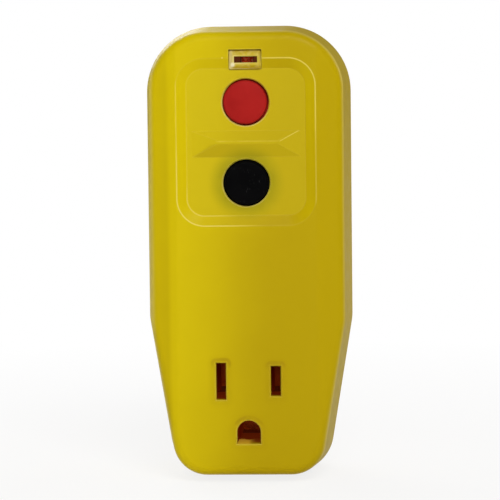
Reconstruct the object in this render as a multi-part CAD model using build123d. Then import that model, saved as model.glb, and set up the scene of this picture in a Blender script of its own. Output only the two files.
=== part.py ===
from build123d import *

import os
from dataclasses import dataclass
from math import atan, degrees, radians, sqrt, tan

# A plug-in ground fault circuit interrupter: a moulded case with a reset and a test button, an
# indicator window and one outlet in front, and the blades of its own plug at the back.
# The frame: +Z is up, the front faces -Y and +X is to the right as seen from the front. The
# origin is on the wall face, midway between the two flat blades. A depth is measured forwards
# from the wall face, so a point at depth d has y = -d. All sizes are in millimetres.


@dataclass(frozen=True)
class Outline:
    """The case's outline at one depth: straight above the bend, tapered below it."""

    half_width: float
    top: float
    bend: float
    bottom: float
    low_half_width: float
    top_radius: float
    bottom_radius: float
    bend_radius: float

    def inset(self, by):
        """The same outline moved inwards, side by side, by a distance."""
        slope = (self.half_width - self.low_half_width) / (self.bend - self.bottom)
        lean = sqrt(1 + slope**2)
        return Outline(
            self.half_width - by,
            self.top - by,
            self.bend + by * (lean - 1) / slope,
            self.bottom + by,
            self.low_half_width + by * (slope - lean),
            self.top_radius - by,
            self.bottom_radius - by,
            self.bend_radius - by,
        )

    def sketch(self):
        """The outline as a face in the plane of the front, x and z."""
        width, low = self.half_width, self.low_half_width
        corners = [
            (-width, self.bend),
            (-width, self.top),
            (width, self.top),
            (width, self.bend),
            (low, self.bottom),
            (-low, self.bottom),
        ]
        top, bend, bottom = self.top_radius, self.bend_radius, self.bottom_radius
        radii = [bend, top, top, bend, bottom, bottom]
        return make_face(FilletPolyline(*corners, radius=radii, close=True))


# The case
BODY_DEPTH = 34.0
PARTING_DEPTH = 16.0
PARTING_OUTLINE = Outline(
    half_width=24.3,
    top=82.8,
    bend=13.5,
    bottom=-23.9,
    low_half_width=18.1,
    top_radius=15.5,
    bottom_radius=9.8,
    bend_radius=12.0,
)
FRONT_DRAFT = 2.05
BACK_DRAFT = 1.1
SIDE_WALL = 2.2
FRONT_WALL = 2.6
BACK_WALL = 2.2
FRONT_EDGE_RADIUS = 2.2
BACK_EDGE_CHAMFER = 1.5
PARTING_CHAMFER = 0.3
FLAT_HALF_WIDTH = 16.2
CHEEK_ANGLE = 14.0
CREASE_RADIUS = 4.0
LIP_WIDTH = 1.0
LIP_HEIGHT = 1.5
FIT = 0.1
REACH = 60.0
FORWARD = 0.9
PLANE_BAND = 1e-3

# The recessed panel, its ridge and the indicator window
RECESS_HALF_WIDTH = 16.2
RECESS_LOW, RECESS_HIGH = 36.0, 74.8
RECESS_RADIUS = 6.5
RECESS_DEPTH = 1.2
RECESS_SLOPE_WIDTH = 2.5
RECESS_RIM_RADIUS = 0.4
RIDGE_HALF_WIDTH = 12.6
RIDGE_LOW, RIDGE_HIGH = 52.0, 58.0
CREST_HALF_WIDTH = 7.1
CREST_X, CREST_Z = 0.4, 55.4
CREST_WIDTH = 0.9
RIDGE_HEIGHT = 1.2
WINDOW_Z = 74.4
WINDOW_WIDTH, WINDOW_HEIGHT = 7.4, 4.4
WINDOW_THICKNESS = 1.4
WINDOW_BEVEL = 0.6
WINDOW_FLOOR = 1.0
WINDOW_SLOT_WIDTH, WINDOW_SLOT_HEIGHT = 5.2, 1.3
ROUNDING = 0.4

# The buttons
RESET_Z = 64.6
TEST_Z = 46.0
BUTTON_RADIUS = 5.1
BUTTON_GAP = 0.3
BUTTON_PROUD = 1.0
BUTTON_EDGE_RADIUS = 0.35
BUTTON_RIM_CHAMFER = 0.25
FLANGE_LIP = 1.1
FLANGE_THICKNESS = 1.1
RESET_STEM_RADIUS = 2.5
TEST_STEM_RADIUS = 2.0
RESET_TRAVEL = 2.6
STEM_CLEARANCE = 0.9
TEST_TRAVEL = 1.5
FLANGE_RADIUS = BUTTON_RADIUS + FLANGE_LIP

# The outlet: two flat slots and a ground hole, on the plug's own pattern
SLOT_X = 6.35
GROUND_Z = -11.89
SLOT_WIDTH = 2.3
SLOT_HEIGHTS = {"line": 7.0, "neutral": 8.6}
SLOT_CHAMFER = 0.25
GROUND_HOLE_RADIUS = 2.75
GROUND_HOLE_FLAT = 2.7
WELL_WALL = 1.0
WELL_HALF_WIDTH = 2.4
WELL_HALF_HEIGHT = 4.6
GROUND_WELL_HALF_WIDTH = 3.3
GROUND_WELL_RISE = 3.0
SIDES = {"line": 1, "neutral": -1}

# The plug
BLADE_WIDTH, BLADE_THICKNESS, BLADE_LENGTH = 6.35, 1.52, 17.5
BLADE_HOLE_RADIUS = 1.6
BLADE_HOLE_FROM_TIP = 4.4
BLADE_TIP_CHAMFER = 0.6
BLADE_TIP_BEVEL = 0.4
BLADE_SHOULDER_WIDTH, BLADE_SHOULDER_DEPTH = 9.0, 2.8
BLADE_ROOT = 2.6
PIN_RADIUS, PIN_NECK_RADIUS, PIN_LENGTH, PIN_TIP_RADIUS = 2.38, 2.0, 20.6, 1.6
PIN_FLANGE_RADIUS, PIN_FLANGE_THICKNESS = 3.5, 1.5
RIVET_RADIUS, RIVET_HEAD_RADIUS, RIVET_HEAD = 1.6, 2.2, 0.6
BLADE_HOLDER_THICKNESS = 5.0
HOLDER_SPACE = 3.0
SOCKET_HOLDER_THICKNESS = 5.1
HOLDER_HALF_WIDTH, HOLDER_TOP = 12.0, 6.5
HOLDER_WAIST_Z, HOLDER_LOW_HALF_WIDTH = -6.5, 8.2
HOLDER_BOTTOM = -17.2
HOLDER_LEG = 2.0

# The contacts of the outlet and the strips that feed them
STRIP_THICKNESS = 0.6
CLIP_HEIGHT = 6.5
CLIP_BASE_WIDTH = 5.0
CLIP_GAUGE = 0.5
CLIP_STANCE, CLIP_PINCH, CLIP_MOUTH = 1.75, 0.85, 1.75
CLIP_TIP_GAP = 4.8
CLIP_SHANK, CLIP_LIP, CLIP_BEND = 2.4, 3.8, 1.0
GROUND_CLIP_LIP, GROUND_CLIP_FLARE, GROUND_CLIP_END = 2.6, 0.5, 0.6
GROUND_CLIP_SETBACK = 3.7
GROUND_CLIP_HALF_GAP = 2.25
GROUND_CLIP_HEIGHT = 4.8
STRIP_X, STRIP_WIDTH = 13.0, 4.6
STRIP_TOP = 68.6
STRIP_SHOULDER_LOW, STRIP_SHOULDER_HIGH = 2.0, 8.5
CONTACT_Z = 66.0
CONTACT_RADIUS = 1.6
CONTACT_GAP = 0.05
FIXED_CONTACT_HEIGHT = 0.75
CONTACT_CHAMFER = 0.3

# The circuit board
BOARD_STANDOFF = 2.0
BOARD_THICKNESS = 1.6
BOARD_BOTTOM = 17.0
BOARD_CLEARANCE = 0.8
BOARD_REST_RADIUS = 1.6
LOW_REST_INSET, LOW_REST_RISE = 7.7, 4.0
MID_REST_INSET, MID_REST_Z = 6.7, 50.0
HIGH_REST_X, HIGH_REST_DROP = 6.0, 7.8

# The latch: the carriage pushes both contact arms forwards until the plate lets the pin go
LATCH_THICKNESS = 0.6
LATCH_GAP = 0.1
LATCH_HALF_WIDTH = 4.0
LATCH_HOLE_HALF_WIDTH = 1.7
LATCH_CATCH, LATCH_FREE = 0.95, 3.3
TRIP_STROKE = 1.6
CARRIAGE_DROP = 2.4
CARRIAGE_HALF_WIDTH = 7.0
CARRIAGE_LOW, CARRIAGE_HIGH = 58.6, 70.6
CARRIAGE_THICKNESS = 4.7
CARRIAGE_BORE = 1.7
WING_TIP, WING_HALF_HEIGHT, WING_THICKNESS = 15.0, 2.0, 3.3
RAIL_LIP = 1.0
LATCH_FAR_EDGE = 1.1
LATCH_SHOULDER = 1.0
PAD_RADIUS = 1.0
RUNNING_GAP = 0.2
RESET_PIN_RADIUS = 0.75
PIN_HEAD_RADIUS = 1.45
PIN_SHOULDER_LENGTH, PIN_NOSE_LENGTH, PIN_NOSE_RADIUS = 1.2, 1.3, 0.3
PIN_SEAT_LENGTH = 3.5
PIN_TIP_GAP = 0.6
FRAME_WALL = 1.6
FRAME_GUIDE_LENGTH, FRAME_GUIDE_WALL = 4.2, 0.7
GUIDE_GAP = 0.1
SPRING_WIRE, SPRING_TURNS = 0.6, 4
NEARLY_ROUND = 0.98
RETURN_SPRING_WIRE, RETURN_SPRING_TURNS, RETURN_SPRING_RADIUS = 0.4, 3, 1.7

# The contact arms
ARM_THICKNESS, ARM_WIDTH = 0.5, 4.6
ARM_HINGE_Z = 43.7
ARM_HEEL = 0.2
MOVING_CONTACT_HEIGHT = 1.0
POST_LEG_Z, POST_THICKNESS, POST_TOP = 42.2, 0.8, 48.0
POST_INSET = 0.3

# The trip solenoid
YOKE_LOW, YOKE_HIGH, YOKE_THICKNESS = 35.7, 51.8, 1.2
YOKE_HALF_WIDTH = 6.0
COIL_RADIUS = 5.5
BOBBIN_WALL, BOBBIN_FLANGE = 0.8, 1.2
PLUNGER_RADIUS, PLUNGER_NECK_RADIUS, PLUNGER_HEAD_RADIUS = 2.4, 0.8, 1.6
PLUNGER_HEAD = 0.8
PLUNGER_BOTTOM = 43.5
BOBBIN_LIP = 0.3
YOKE_STANDOFF, YOKE_FOOT, YOKE_FOOT_INSET = 2.0, 0.4, 1.0
TAB_Z = 54.3
TAB_REACH = 4.0
POLE_HEIGHT = 2.1

# The current transformers and the wires through them
RING_CORE_OUTER, RING_CORE_INNER, RING_CORE_HEIGHT = 6.3, 4.2, 3.2
WINDING_THICKNESS = 0.9
WINDING_ANGLE = 300.0
RING_CENTRES = {"sense": 25.0, "neutral": 19.2}
WIRE_RADIUS, WIRE_X = 1.1, 1.35
WIRE_ROOT_SETBACK = 1.2
WIRE_ROOT_RISE, WIRE_LEAD_IN, WIRE_LEAD_OUT = 5.5, 1.5, 2.0
WIRE_SPREAD_X, WIRE_SPREAD_Z, WIRE_SPREAD_BACK = 9.5, 34.5, 2.0
WIRE_POST_HEIGHT, WIRE_POST_DROP = 4.2, 3.7
WIRE_BENDS = [2.5, 2.5, 2.5, 2.0, 1.6]
WIRE_SIDES = 8
CRADLE_HOLD, CRADLE_MARGIN, CRADLE_FLOOR = 3.0, 0.3, 0.8

# The test switch
TEST_LEAF_THICKNESS, TEST_LEAF_HALF_WIDTH = 0.4, 1.5
TEST_STEM_LENGTH = 4.7
TEST_CONTACT_GAP = TEST_TRAVEL + 0.1
TEST_POST_X, TEST_POST_WIDTH = 17.3, 2.0
TEST_LEAF_OVERHANG = 2.0
TEST_POINT_RADIUS, TEST_POINT_HEIGHT = 0.8, 0.3

# The screws
TOP_SCREW_INSET, TOP_SCREW_DROP = 8.8, 9.3
LOW_SCREW_INSET, LOW_SCREW_RISE = 5.6, 8.4
SCREW_RADIUS, SCREW_HEAD_RADIUS, SCREW_HEAD = 1.45, 2.6, 1.8
SCREW_SEAT, SCREW_LENGTH = 10.0, 14.0
SCREW_FLOOR = 2.0
REAR_BOSS_RADIUS, FRONT_BOSS_RADIUS = 3.7, 3.2

# The indicator lamp
LAMP_RADIUS, LAMP_LENGTH, LAMP_LEAD_X = 1.5, 5.2, 1.27
LAMP_COLLAR, LAMP_COLLAR_HEIGHT = 0.3, 0.8
LAMP_TIP_GAP = 0.3

# The components on the board, with their places in x and z
LEAD = 0.5
LEAD_INTO_BODY = 0.1
DISC_GAP = 1.0
VARISTOR_RADIUS, VARISTOR_THICKNESS, VARISTOR_PITCH = 3.8, 2.8, 4.0
VARISTOR_PLACE = (-13.2, 30.5)
CERAMIC_RADIUS, CERAMIC_THICKNESS, CERAMIC_PITCH = 2.2, 1.6, 2.5
CERAMIC_GAP = 1.2
CERAMIC_PLACES = [(-16.5, 24.0), (17.0, 30.0)]
SCR_RADIUS, SCR_HEIGHT, SCR_RISE, SCR_FLAT, SCR_PITCH = 2.3, 4.6, 2.2, 1.5, 1.27
SCR_PLACE = (-16.8, 37.6)
CAN_RADIUS, CAN_HEIGHT, CAN_GROOVE_DEPTH, CAN_GROOVE_HEIGHT, CAN_GROOVE_Z = 2.5, 8.0, 0.25, 0.6, 1.5
CAN_PLACE = (14.0, 24.5)
AXIAL_LEAD, AXIAL_CLEARANCE = 0.8, 0.3
DIODE_LENGTH, DIODE_RADIUS, DIODE_PLACE, DIODE_PITCH = 3.6, 1.0, (16.6, 32.6), 2.6
RESISTOR_LENGTH, RESISTOR_RADIUS, RESISTOR_PLACE, RESISTOR_PITCH = 3.6, 0.8, (-16.2, 51.0), 2.4
TEST_RESISTOR_LENGTH, TEST_RESISTOR_RADIUS, TEST_RESISTOR_PLACE = 5.6, 1.2, (15.2, 54.5)
ROW_COUNT = 4
CHIP_HALF_WIDTH, CHIP_LOW, CHIP_HIGH, CHIP_THICKNESS, CHIP_STANDOFF = 2.0, 28.0, 33.0, 1.4, 0.1
CHIP_LEG_SPAN, CHIP_LEG_WIDTH, CHIP_LEG_HEIGHT, CHIP_LEG_PITCH = 3.0, 0.4, 0.6, 1.27

# Places that follow from the sizes above
FRONT_INSIDE = BODY_DEPTH - FRONT_WALL
RECESS_FLOOR = BODY_DEPTH - RECESS_DEPTH
BLADE_HOLDER_FRONT = BACK_WALL + BLADE_HOLDER_THICKNESS
BLADE_ROOT_DEPTH = BLADE_HOLDER_FRONT + BLADE_ROOT
WIRE_ROOT_DEPTH = BLADE_ROOT_DEPTH - WIRE_ROOT_SETBACK
SOCKET_HOLDER_BACK = BLADE_HOLDER_FRONT + HOLDER_SPACE
STRIP_BACK = SOCKET_HOLDER_BACK + SOCKET_HOLDER_THICKNESS
GROUND_CLIP_BACK = STRIP_BACK - GROUND_CLIP_SETBACK
CLIP_TIP_DEPTH = FRONT_INSIDE - CLIP_TIP_GAP
BOARD_BACK = BACK_WALL + BOARD_STANDOFF
BOARD_FRONT = BOARD_BACK + BOARD_THICKNESS
WINDING_OUTER = RING_CORE_OUTER + WINDING_THICKNESS
RING_DEPTH = BOARD_FRONT + CRADLE_FLOOR + RUNNING_GAP + WINDING_OUTER
WIRE_POST_DEPTH = BOARD_FRONT + WIRE_POST_HEIGHT
SOLENOID_DEPTH = BOARD_FRONT + YOKE_FOOT + YOKE_STANDOFF + YOKE_HALF_WIDTH
PIN_TIP = BOARD_FRONT + PIN_TIP_GAP + RESET_TRAVEL
PIN_WIDEST = PIN_TIP + PIN_NOSE_LENGTH
PIN_SHOULDER = PIN_WIDEST + PIN_SHOULDER_LENGTH
LATCH_BACK = PIN_SHOULDER + LATCH_GAP
FLANGE_FRONT = FRONT_INSIDE - FIT
FLANGE_BACK = FLANGE_FRONT - FLANGE_THICKNESS
WINDOW_SEAT = FRONT_INSIDE + WINDOW_FLOOR
CARRIAGE_BACK = LATCH_BACK + LATCH_THICKNESS + LATCH_GAP
CARRIAGE_FRONT = CARRIAGE_BACK + CARRIAGE_THICKNESS
FRAME_FRONT = CARRIAGE_FRONT + RUNNING_GAP + FRAME_WALL
GUIDE_FRONT = FRAME_FRONT + FRAME_GUIDE_LENGTH
FIXED_CONTACT_TIP = STRIP_BACK - FIXED_CONTACT_HEIGHT
MOVING_CONTACT_TIP = FIXED_CONTACT_TIP - CONTACT_GAP
ARM_FRONT = MOVING_CONTACT_TIP - MOVING_CONTACT_HEIGHT
ARM_BACK = ARM_FRONT - ARM_THICKNESS
PAD_TOP = ARM_BACK - RUNNING_GAP
WING_BACK = PAD_TOP - WING_THICKNESS
RESET_STEM_END = CARRIAGE_FRONT + RESET_TRAVEL + STEM_CLEARANCE
PIN_TOP = RESET_STEM_END + PIN_SEAT_LENGTH
FRAME_HALF_WIDTH = CARRIAGE_HALF_WIDTH + RUNNING_GAP + FRAME_WALL
FRAME_LOW = CARRIAGE_LOW - RUNNING_GAP - FRAME_WALL
FRAME_HIGH = CARRIAGE_HIGH + RUNNING_GAP + FRAME_WALL
REAR_BOSS_FRONT = SCREW_SEAT + SCREW_FLOOR
SCREW_END = SCREW_SEAT + SCREW_LENGTH
TEST_STEM_END = FLANGE_BACK - TEST_STEM_LENGTH
TEST_LEAF_FRONT = TEST_STEM_END - RUNNING_GAP
SCREWS = [
    place
    for side in SIDES.values()
    for place in (
        (side * (PARTING_OUTLINE.half_width - TOP_SCREW_INSET), PARTING_OUTLINE.top - TOP_SCREW_DROP),
        (side * (PARTING_OUTLINE.low_half_width - LOW_SCREW_INSET), PARTING_OUTLINE.bottom + LOW_SCREW_RISE),
    )
]
BOARD_RESTS = [
    place
    for side in SIDES.values()
    for place in (
        (side * (PARTING_OUTLINE.half_width - LOW_REST_INSET), BOARD_BOTTOM + LOW_REST_RISE),
        (side * (PARTING_OUTLINE.half_width - MID_REST_INSET), MID_REST_Z),
        (side * HIGH_REST_X, PARTING_OUTLINE.top - HIGH_REST_DROP),
    )
]

FRONT_SLOPE = FRONT_DRAFT / (BODY_DEPTH - PARTING_DEPTH)
BACK_SLOPE = BACK_DRAFT / PARTING_DEPTH
STANDING = (Align.CENTER, Align.CENTER, Align.MIN)


def at_depth(depth, sketch):
    """A sketch drawn in x and z, stood up in the plane at a depth."""
    return Plane.XZ.offset(depth) * sketch


def slab(sketch, back, front):
    """A sketch in x and z, made solid between two depths."""
    return extrude(at_depth(back, sketch), amount=front - back)


def block(left, right, back, front, low, high):
    """A rectangular block from its x, depth and z limits."""
    middle = Pos((left + right) / 2, -(back + front) / 2, (low + high) / 2)
    return middle * Box(right - left, front - back, high - low)


def rod(x, z, radius, back, front):
    """A round rod that runs along the depth."""
    return slab(Pos(x, z) * Circle(radius), back, front)


def cone(x, z, back_radius, front_radius, back, front):
    """A round taper between two depths."""
    turned = Pos(x, -back, z) * Rot(90, 0, 0)
    return turned * Cone(back_radius, front_radius, front - back, align=STANDING)


def upright(x, depth, radius, low, high):
    """A round rod that runs along z."""
    return extrude(Plane.XY.offset(low) * (Pos(x, -depth) * Circle(radius)), amount=high - low)


def drafted(inset, end, slope):
    """The case's outline, moved inwards, carried from the parting plane to a depth with a draft."""
    prism = slab(PARTING_OUTLINE.inset(inset).sketch(), *sorted((PARTING_DEPTH, end)))
    outwards = -1 if end > PARTING_DEPTH else 1
    parting = Plane(origin=(0, -PARTING_DEPTH, 0), z_dir=(0, outwards, 0))
    sides = [face for face in prism.faces() if abs(face.normal_at(face.center()).Y) < FORWARD]
    return draft(sides, neutral_plane=parting, angle=degrees(atan(slope)))


def sloped(back_sketch, back, front_sketch, front):
    """Straight sides between two sketches of the same kind at two depths."""
    return loft([at_depth(back, back_sketch), at_depth(front, front_sketch)], ruled=True)


def strip(route, gauge, low, high, radius):
    """Bent sheet metal: a route in x and depth, with a gauge, between two heights."""
    points = [(x, -depth) for x, depth in route]
    line = FilletPolyline(*points, radius=[radius] * (len(route) - 2))
    return extrude(Plane.XY.offset(low) * trace(line, gauge), amount=high - low)


def edges_at(solid, depth):
    """The edges of a solid that lie in the plane at a depth."""
    return solid.edges().filter_by_position(Axis.Y, -depth - PLANE_BAND, -depth + PLANE_BAND)


def rim(outline, outside, inside, back, front):
    """A band that follows an outline, between two insets and two depths."""
    band = outline.inset(outside).sketch() - outline.inset(inside).sketch()
    return slab(band, back, front)


def crown(lowered=0.0):
    """All that is behind the front's surface: a flat middle and two sloping cheeks."""
    front = BODY_DEPTH - lowered
    drop = (REACH - FLAT_HALF_WIDTH) * tan(radians(CHEEK_ANGLE))
    corners = [
        (-REACH, 0),
        (-REACH, drop - front),
        (-FLAT_HALF_WIDTH, -front),
        (FLAT_HALF_WIDTH, -front),
        (REACH, drop - front),
        (REACH, 0),
    ]
    radii = [0, 0, CREASE_RADIUS, CREASE_RADIUS, 0, 0]
    profile = make_face(FilletPolyline(*corners, radius=radii, close=True))
    low = PARTING_OUTLINE.bottom - 1
    high = PARTING_OUTLINE.top + 1
    return extrude(Plane.XY.offset(low) * profile, amount=high - low)


def front_surface_edges(solid):
    """The edges all round the front, between the crowned face and the side walls."""
    faces = [face for face in solid.faces() if face.normal_at(face.center()).Y < -FORWARD]
    edges = [edge for face in faces for edge in face.edges()]
    return [e for e in edges if sum(e.is_same(other) for other in edges) == 1]


def panel_sketch(shrink):
    """The recessed panel's outline, drawn in by a distance all round."""
    width = 2 * (RECESS_HALF_WIDTH - shrink)
    height = RECESS_HIGH - RECESS_LOW - 2 * shrink
    middle = Pos(0, (RECESS_HIGH + RECESS_LOW) / 2)
    return middle * RectangleRounded(width, height, RECESS_RADIUS - shrink)


def recess():
    """What the recessed panel takes out of the front."""
    slopes = sloped(panel_sketch(RECESS_SLOPE_WIDTH), RECESS_FLOOR, panel_sketch(0), BODY_DEPTH)
    return slopes + slab(panel_sketch(0), BODY_DEPTH, BODY_DEPTH + 2)


def recess_edges(solid):
    """The edges where the recessed panel's slopes meet the front."""
    middle = (RECESS_LOW + RECESS_HIGH) / 2
    tall = (RECESS_HIGH - RECESS_LOW) / 2 + FIT
    near = [e for e in solid.edges() if e.center().Y < -(RECESS_FLOOR + RECESS_DEPTH / 2)]
    near = [e for e in near if abs(e.center().Z - middle) < tall]
    return [e for e in near if abs(e.center().X) < RECESS_HALF_WIDTH + FIT]


def ridge():
    """The hipped ridge between the two buttons."""
    base = Pos(0, (RIDGE_LOW + RIDGE_HIGH) / 2) * Rectangle(2 * RIDGE_HALF_WIDTH, RIDGE_HIGH - RIDGE_LOW)
    crest = Pos(CREST_X, CREST_Z) * Rectangle(2 * CREST_HALF_WIDTH, CREST_WIDTH)
    solid = sloped(base, RECESS_FLOOR, crest, RECESS_FLOOR + RIDGE_HEIGHT)
    return fillet(edges_at(solid, RECESS_FLOOR + RIDGE_HEIGHT), CREST_WIDTH * ROUNDING)


def ground_hole(grow=0.0):
    """The ground hole's outline: round above, flat below."""
    radius = GROUND_HOLE_RADIUS + grow
    depth = GROUND_HOLE_FLAT + grow
    arch = Circle(radius) & Pos(0, radius / 2) * Rectangle(2 * radius, radius)
    return Pos(0, GROUND_Z) * (arch + Pos(0, -depth / 2) * Rectangle(2 * radius, depth))


def slot_cut(name):
    """One flat slot of the outlet, through the front wall, with its chamfered mouth."""
    width, height = SLOT_WIDTH, SLOT_HEIGHTS[name]
    centre = Pos(SIDES[name] * SLOT_X, 0)
    mouth = centre * Rectangle(width + 2 * SLOT_CHAMFER, height + 2 * SLOT_CHAMFER)
    slot = centre * Rectangle(width, height)
    cut = slab(slot, FRONT_INSIDE - 1, BODY_DEPTH + 1)
    return cut + sloped(slot, BODY_DEPTH - SLOT_CHAMFER, mouth, BODY_DEPTH)


def well(x, half_width, low, high):
    """A square sleeve behind the front wall, round the contact of one slot."""
    back = STRIP_BACK + STRIP_THICKNESS + RUNNING_GAP
    middle = Pos(x, (low + high) / 2)
    outer = middle * Rectangle(2 * (half_width + WELL_WALL), high - low + 2 * WELL_WALL)
    inner = middle * Rectangle(2 * half_width, high - low)
    return slab(outer - inner, back, FRONT_INSIDE + FIT)


def front_cover():
    """The front shell: outlet, recessed panel, button holes, window pocket and bosses."""
    outer = drafted(0, BODY_DEPTH, FRONT_SLOPE) & crown()
    outer = fillet(front_surface_edges(outer), FRONT_EDGE_RADIUS)
    outer = chamfer(edges_at(outer, PARTING_DEPTH), PARTING_CHAMFER) - recess()
    outer = fillet(recess_edges(outer), RECESS_RIM_RADIUS)
    cavity = drafted(SIDE_WALL, BODY_DEPTH, FRONT_SLOPE)
    shell = outer - (cavity & crown(FRONT_WALL))
    shell -= rim(PARTING_OUTLINE, SIDE_WALL - LIP_WIDTH - FIT, SIDE_WALL + 1,
                 PARTING_DEPTH - 1, PARTING_DEPTH + LIP_HEIGHT + FIT)
    bosses = [rod(x, z, FRONT_BOSS_RADIUS, REAR_BOSS_FRONT + RUNNING_GAP, FRONT_INSIDE + FIT)
              for x, z in SCREWS]
    inside = cavity & crown(FRONT_WALL / 2)
    inside += slab(PARTING_OUTLINE.inset(SIDE_WALL).sketch(), REAR_BOSS_FRONT, PARTING_DEPTH)
    shell += [boss & inside for boss in bosses]
    for name, side in SIDES.items():
        shell += well(side * SLOT_X, WELL_HALF_WIDTH, -WELL_HALF_HEIGHT, WELL_HALF_HEIGHT)
    shell += well(0, GROUND_WELL_HALF_WIDTH, GROUND_Z - GROUND_HOLE_FLAT, GROUND_Z + GROUND_WELL_RISE)
    shell += ridge()
    for z in (RESET_Z, TEST_Z):
        hole = BUTTON_RADIUS + BUTTON_GAP
        shell -= rod(0, z, hole, FRONT_INSIDE - 1, BODY_DEPTH)
        shell -= cone(0, z, hole, hole + BUTTON_RIM_CHAMFER, RECESS_FLOOR - BUTTON_RIM_CHAMFER, RECESS_FLOOR)
    half = WINDOW_WIDTH / 2 + FIT
    tall = WINDOW_HEIGHT / 2 + FIT
    shell -= block(-half, half, WINDOW_SEAT, BODY_DEPTH + 1, WINDOW_Z - tall, WINDOW_Z + tall)
    half = WINDOW_SLOT_WIDTH / 2
    tall = WINDOW_SLOT_HEIGHT / 2
    shell -= block(-half, half, FRONT_INSIDE - 1, BODY_DEPTH, WINDOW_Z - tall, WINDOW_Z + tall)
    for name in SIDES:
        shell -= slot_cut(name)
    shell -= slab(ground_hole(), FRONT_INSIDE - 1, BODY_DEPTH + 1)
    shell -= sloped(ground_hole(), BODY_DEPTH - SLOT_CHAMFER, ground_hole(SLOT_CHAMFER), BODY_DEPTH)
    for x, z in SCREWS:
        shell -= rod(x, z, SCREW_RADIUS + GUIDE_GAP / 2, REAR_BOSS_FRONT, SCREW_END + 1)
    return shell


def rear_cover():
    """The rear shell: blade openings, board rests, screw bosses and the tongue of the joint."""
    outer = drafted(0, 0, BACK_SLOPE)
    outer = chamfer(edges_at(outer, 0), BACK_EDGE_CHAMFER)
    outer = chamfer(edges_at(outer, PARTING_DEPTH), PARTING_CHAMFER)
    shell = outer - drafted(SIDE_WALL, BACK_WALL, BACK_SLOPE)
    shell += rim(PARTING_OUTLINE, SIDE_WALL - LIP_WIDTH, SIDE_WALL, PARTING_DEPTH - 1,
                 PARTING_DEPTH + LIP_HEIGHT)
    for x, z in SCREWS:
        shell += rod(x, z, REAR_BOSS_RADIUS, BACK_WALL / 2, REAR_BOSS_FRONT)
    for x, z in BOARD_RESTS:
        shell += rod(x, z, BOARD_REST_RADIUS, BACK_WALL / 2, BOARD_BACK)
    for side in SIDES.values():
        half = BLADE_THICKNESS / 2 + FIT
        tall = BLADE_WIDTH / 2 + FIT
        x = side * SLOT_X
        shell -= block(x - half, x + half, -1, BACK_WALL + 1, -tall, tall)
    shell -= rod(0, GROUND_Z, PIN_RADIUS + FIT, -1, BACK_WALL + 1)
    for x, z in SCREWS:
        shell -= rod(x, z, SCREW_HEAD_RADIUS + RUNNING_GAP, -1, SCREW_SEAT)
        shell -= rod(x, z, SCREW_RADIUS + GUIDE_GAP, -1, REAR_BOSS_FRONT + 1)
    return shell


def cover_screws():
    """Four pan-head screws, driven from the back."""
    screws = []
    for x, z in SCREWS:
        head = rod(x, z, SCREW_HEAD_RADIUS, SCREW_SEAT - SCREW_HEAD, SCREW_SEAT)
        screws.append(head + rod(x, z, SCREW_RADIUS, SCREW_SEAT, SCREW_END))
    return Compound(children=screws)


def indicator_window():
    """The clear bezel in front of the lamp."""
    face = Pos(0, WINDOW_Z) * Rectangle(WINDOW_WIDTH, WINDOW_HEIGHT)
    lens = slab(face, WINDOW_SEAT, WINDOW_SEAT + WINDOW_THICKNESS)
    return chamfer(edges_at(lens, WINDOW_SEAT + WINDOW_THICKNESS), WINDOW_BEVEL)


def indicator_lamp():
    """The lamp behind the window's slot: a domed body with a collar and two leads."""
    tip = FRONT_INSIDE - LAMP_TIP_GAP
    shoulder = tip - LAMP_RADIUS
    base = tip - LAMP_LENGTH
    body = rod(0, WINDOW_Z, LAMP_RADIUS, base, shoulder) + Pos(0, -shoulder, WINDOW_Z) * Sphere(LAMP_RADIUS)
    body += rod(0, WINDOW_Z, LAMP_RADIUS + LAMP_COLLAR, base, base + LAMP_COLLAR_HEIGHT)
    for x in (-LAMP_LEAD_X, LAMP_LEAD_X):
        body += block(x - LEAD / 2, x + LEAD / 2, BOARD_FRONT, base, WINDOW_Z - LEAD / 2, WINDOW_Z + LEAD / 2)
    return body


def button(z, stem_radius, stem_end):
    """One push button: domed cap, retaining flange and stem."""
    front = RECESS_FLOOR + BUTTON_PROUD
    cap = rod(0, z, BUTTON_RADIUS, FLANGE_BACK, front)
    cap = fillet(edges_at(cap, front), BUTTON_EDGE_RADIUS)
    cap += rod(0, z, FLANGE_RADIUS, FLANGE_BACK, FLANGE_FRONT)
    return cap + rod(0, z, stem_radius, stem_end, FLANGE_BACK)


def reset_button():
    """The red button, bored to hold the latch pin."""
    shape = button(RESET_Z, RESET_STEM_RADIUS, RESET_STEM_END)
    return shape - rod(0, RESET_Z, RESET_PIN_RADIUS + FIT / 4, RESET_STEM_END - 1, PIN_TOP)


def reset_pin():
    """The latch pin: a rod whose tapered head catches the latch plate from behind."""
    pin = rod(0, RESET_Z, RESET_PIN_RADIUS, PIN_SHOULDER, PIN_TOP)
    pin += cone(0, RESET_Z, PIN_HEAD_RADIUS, RESET_PIN_RADIUS, PIN_WIDEST, PIN_SHOULDER)
    return pin + cone(0, RESET_Z, PIN_NOSE_RADIUS, PIN_HEAD_RADIUS, PIN_TIP, PIN_WIDEST)


def coil_spring(radius, wire, turns, length):
    """A coil spring of square wire that stands on the origin along +Z, in quarter-turn arcs."""
    quarters = 4 * turns + 1
    corners = [(1, -1), (1, 1), (-1, 1), (-1, -1)]
    points = [(radius, 0, 0)]
    for number in range(quarters - 1):
        x, y = corners[(number + 1) % 4]
        points.append((radius * x, radius * y, length * (number + 0.5) / (quarters - 1)))
    points.append((radius, 0, length))
    path = FilletPolyline(*points, radius=[radius * NEARLY_ROUND] * (quarters - 1))
    start = Plane(origin=path @ 0, z_dir=path % 0)
    return sweep(start * Rectangle(wire, wire), path=path)


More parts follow.
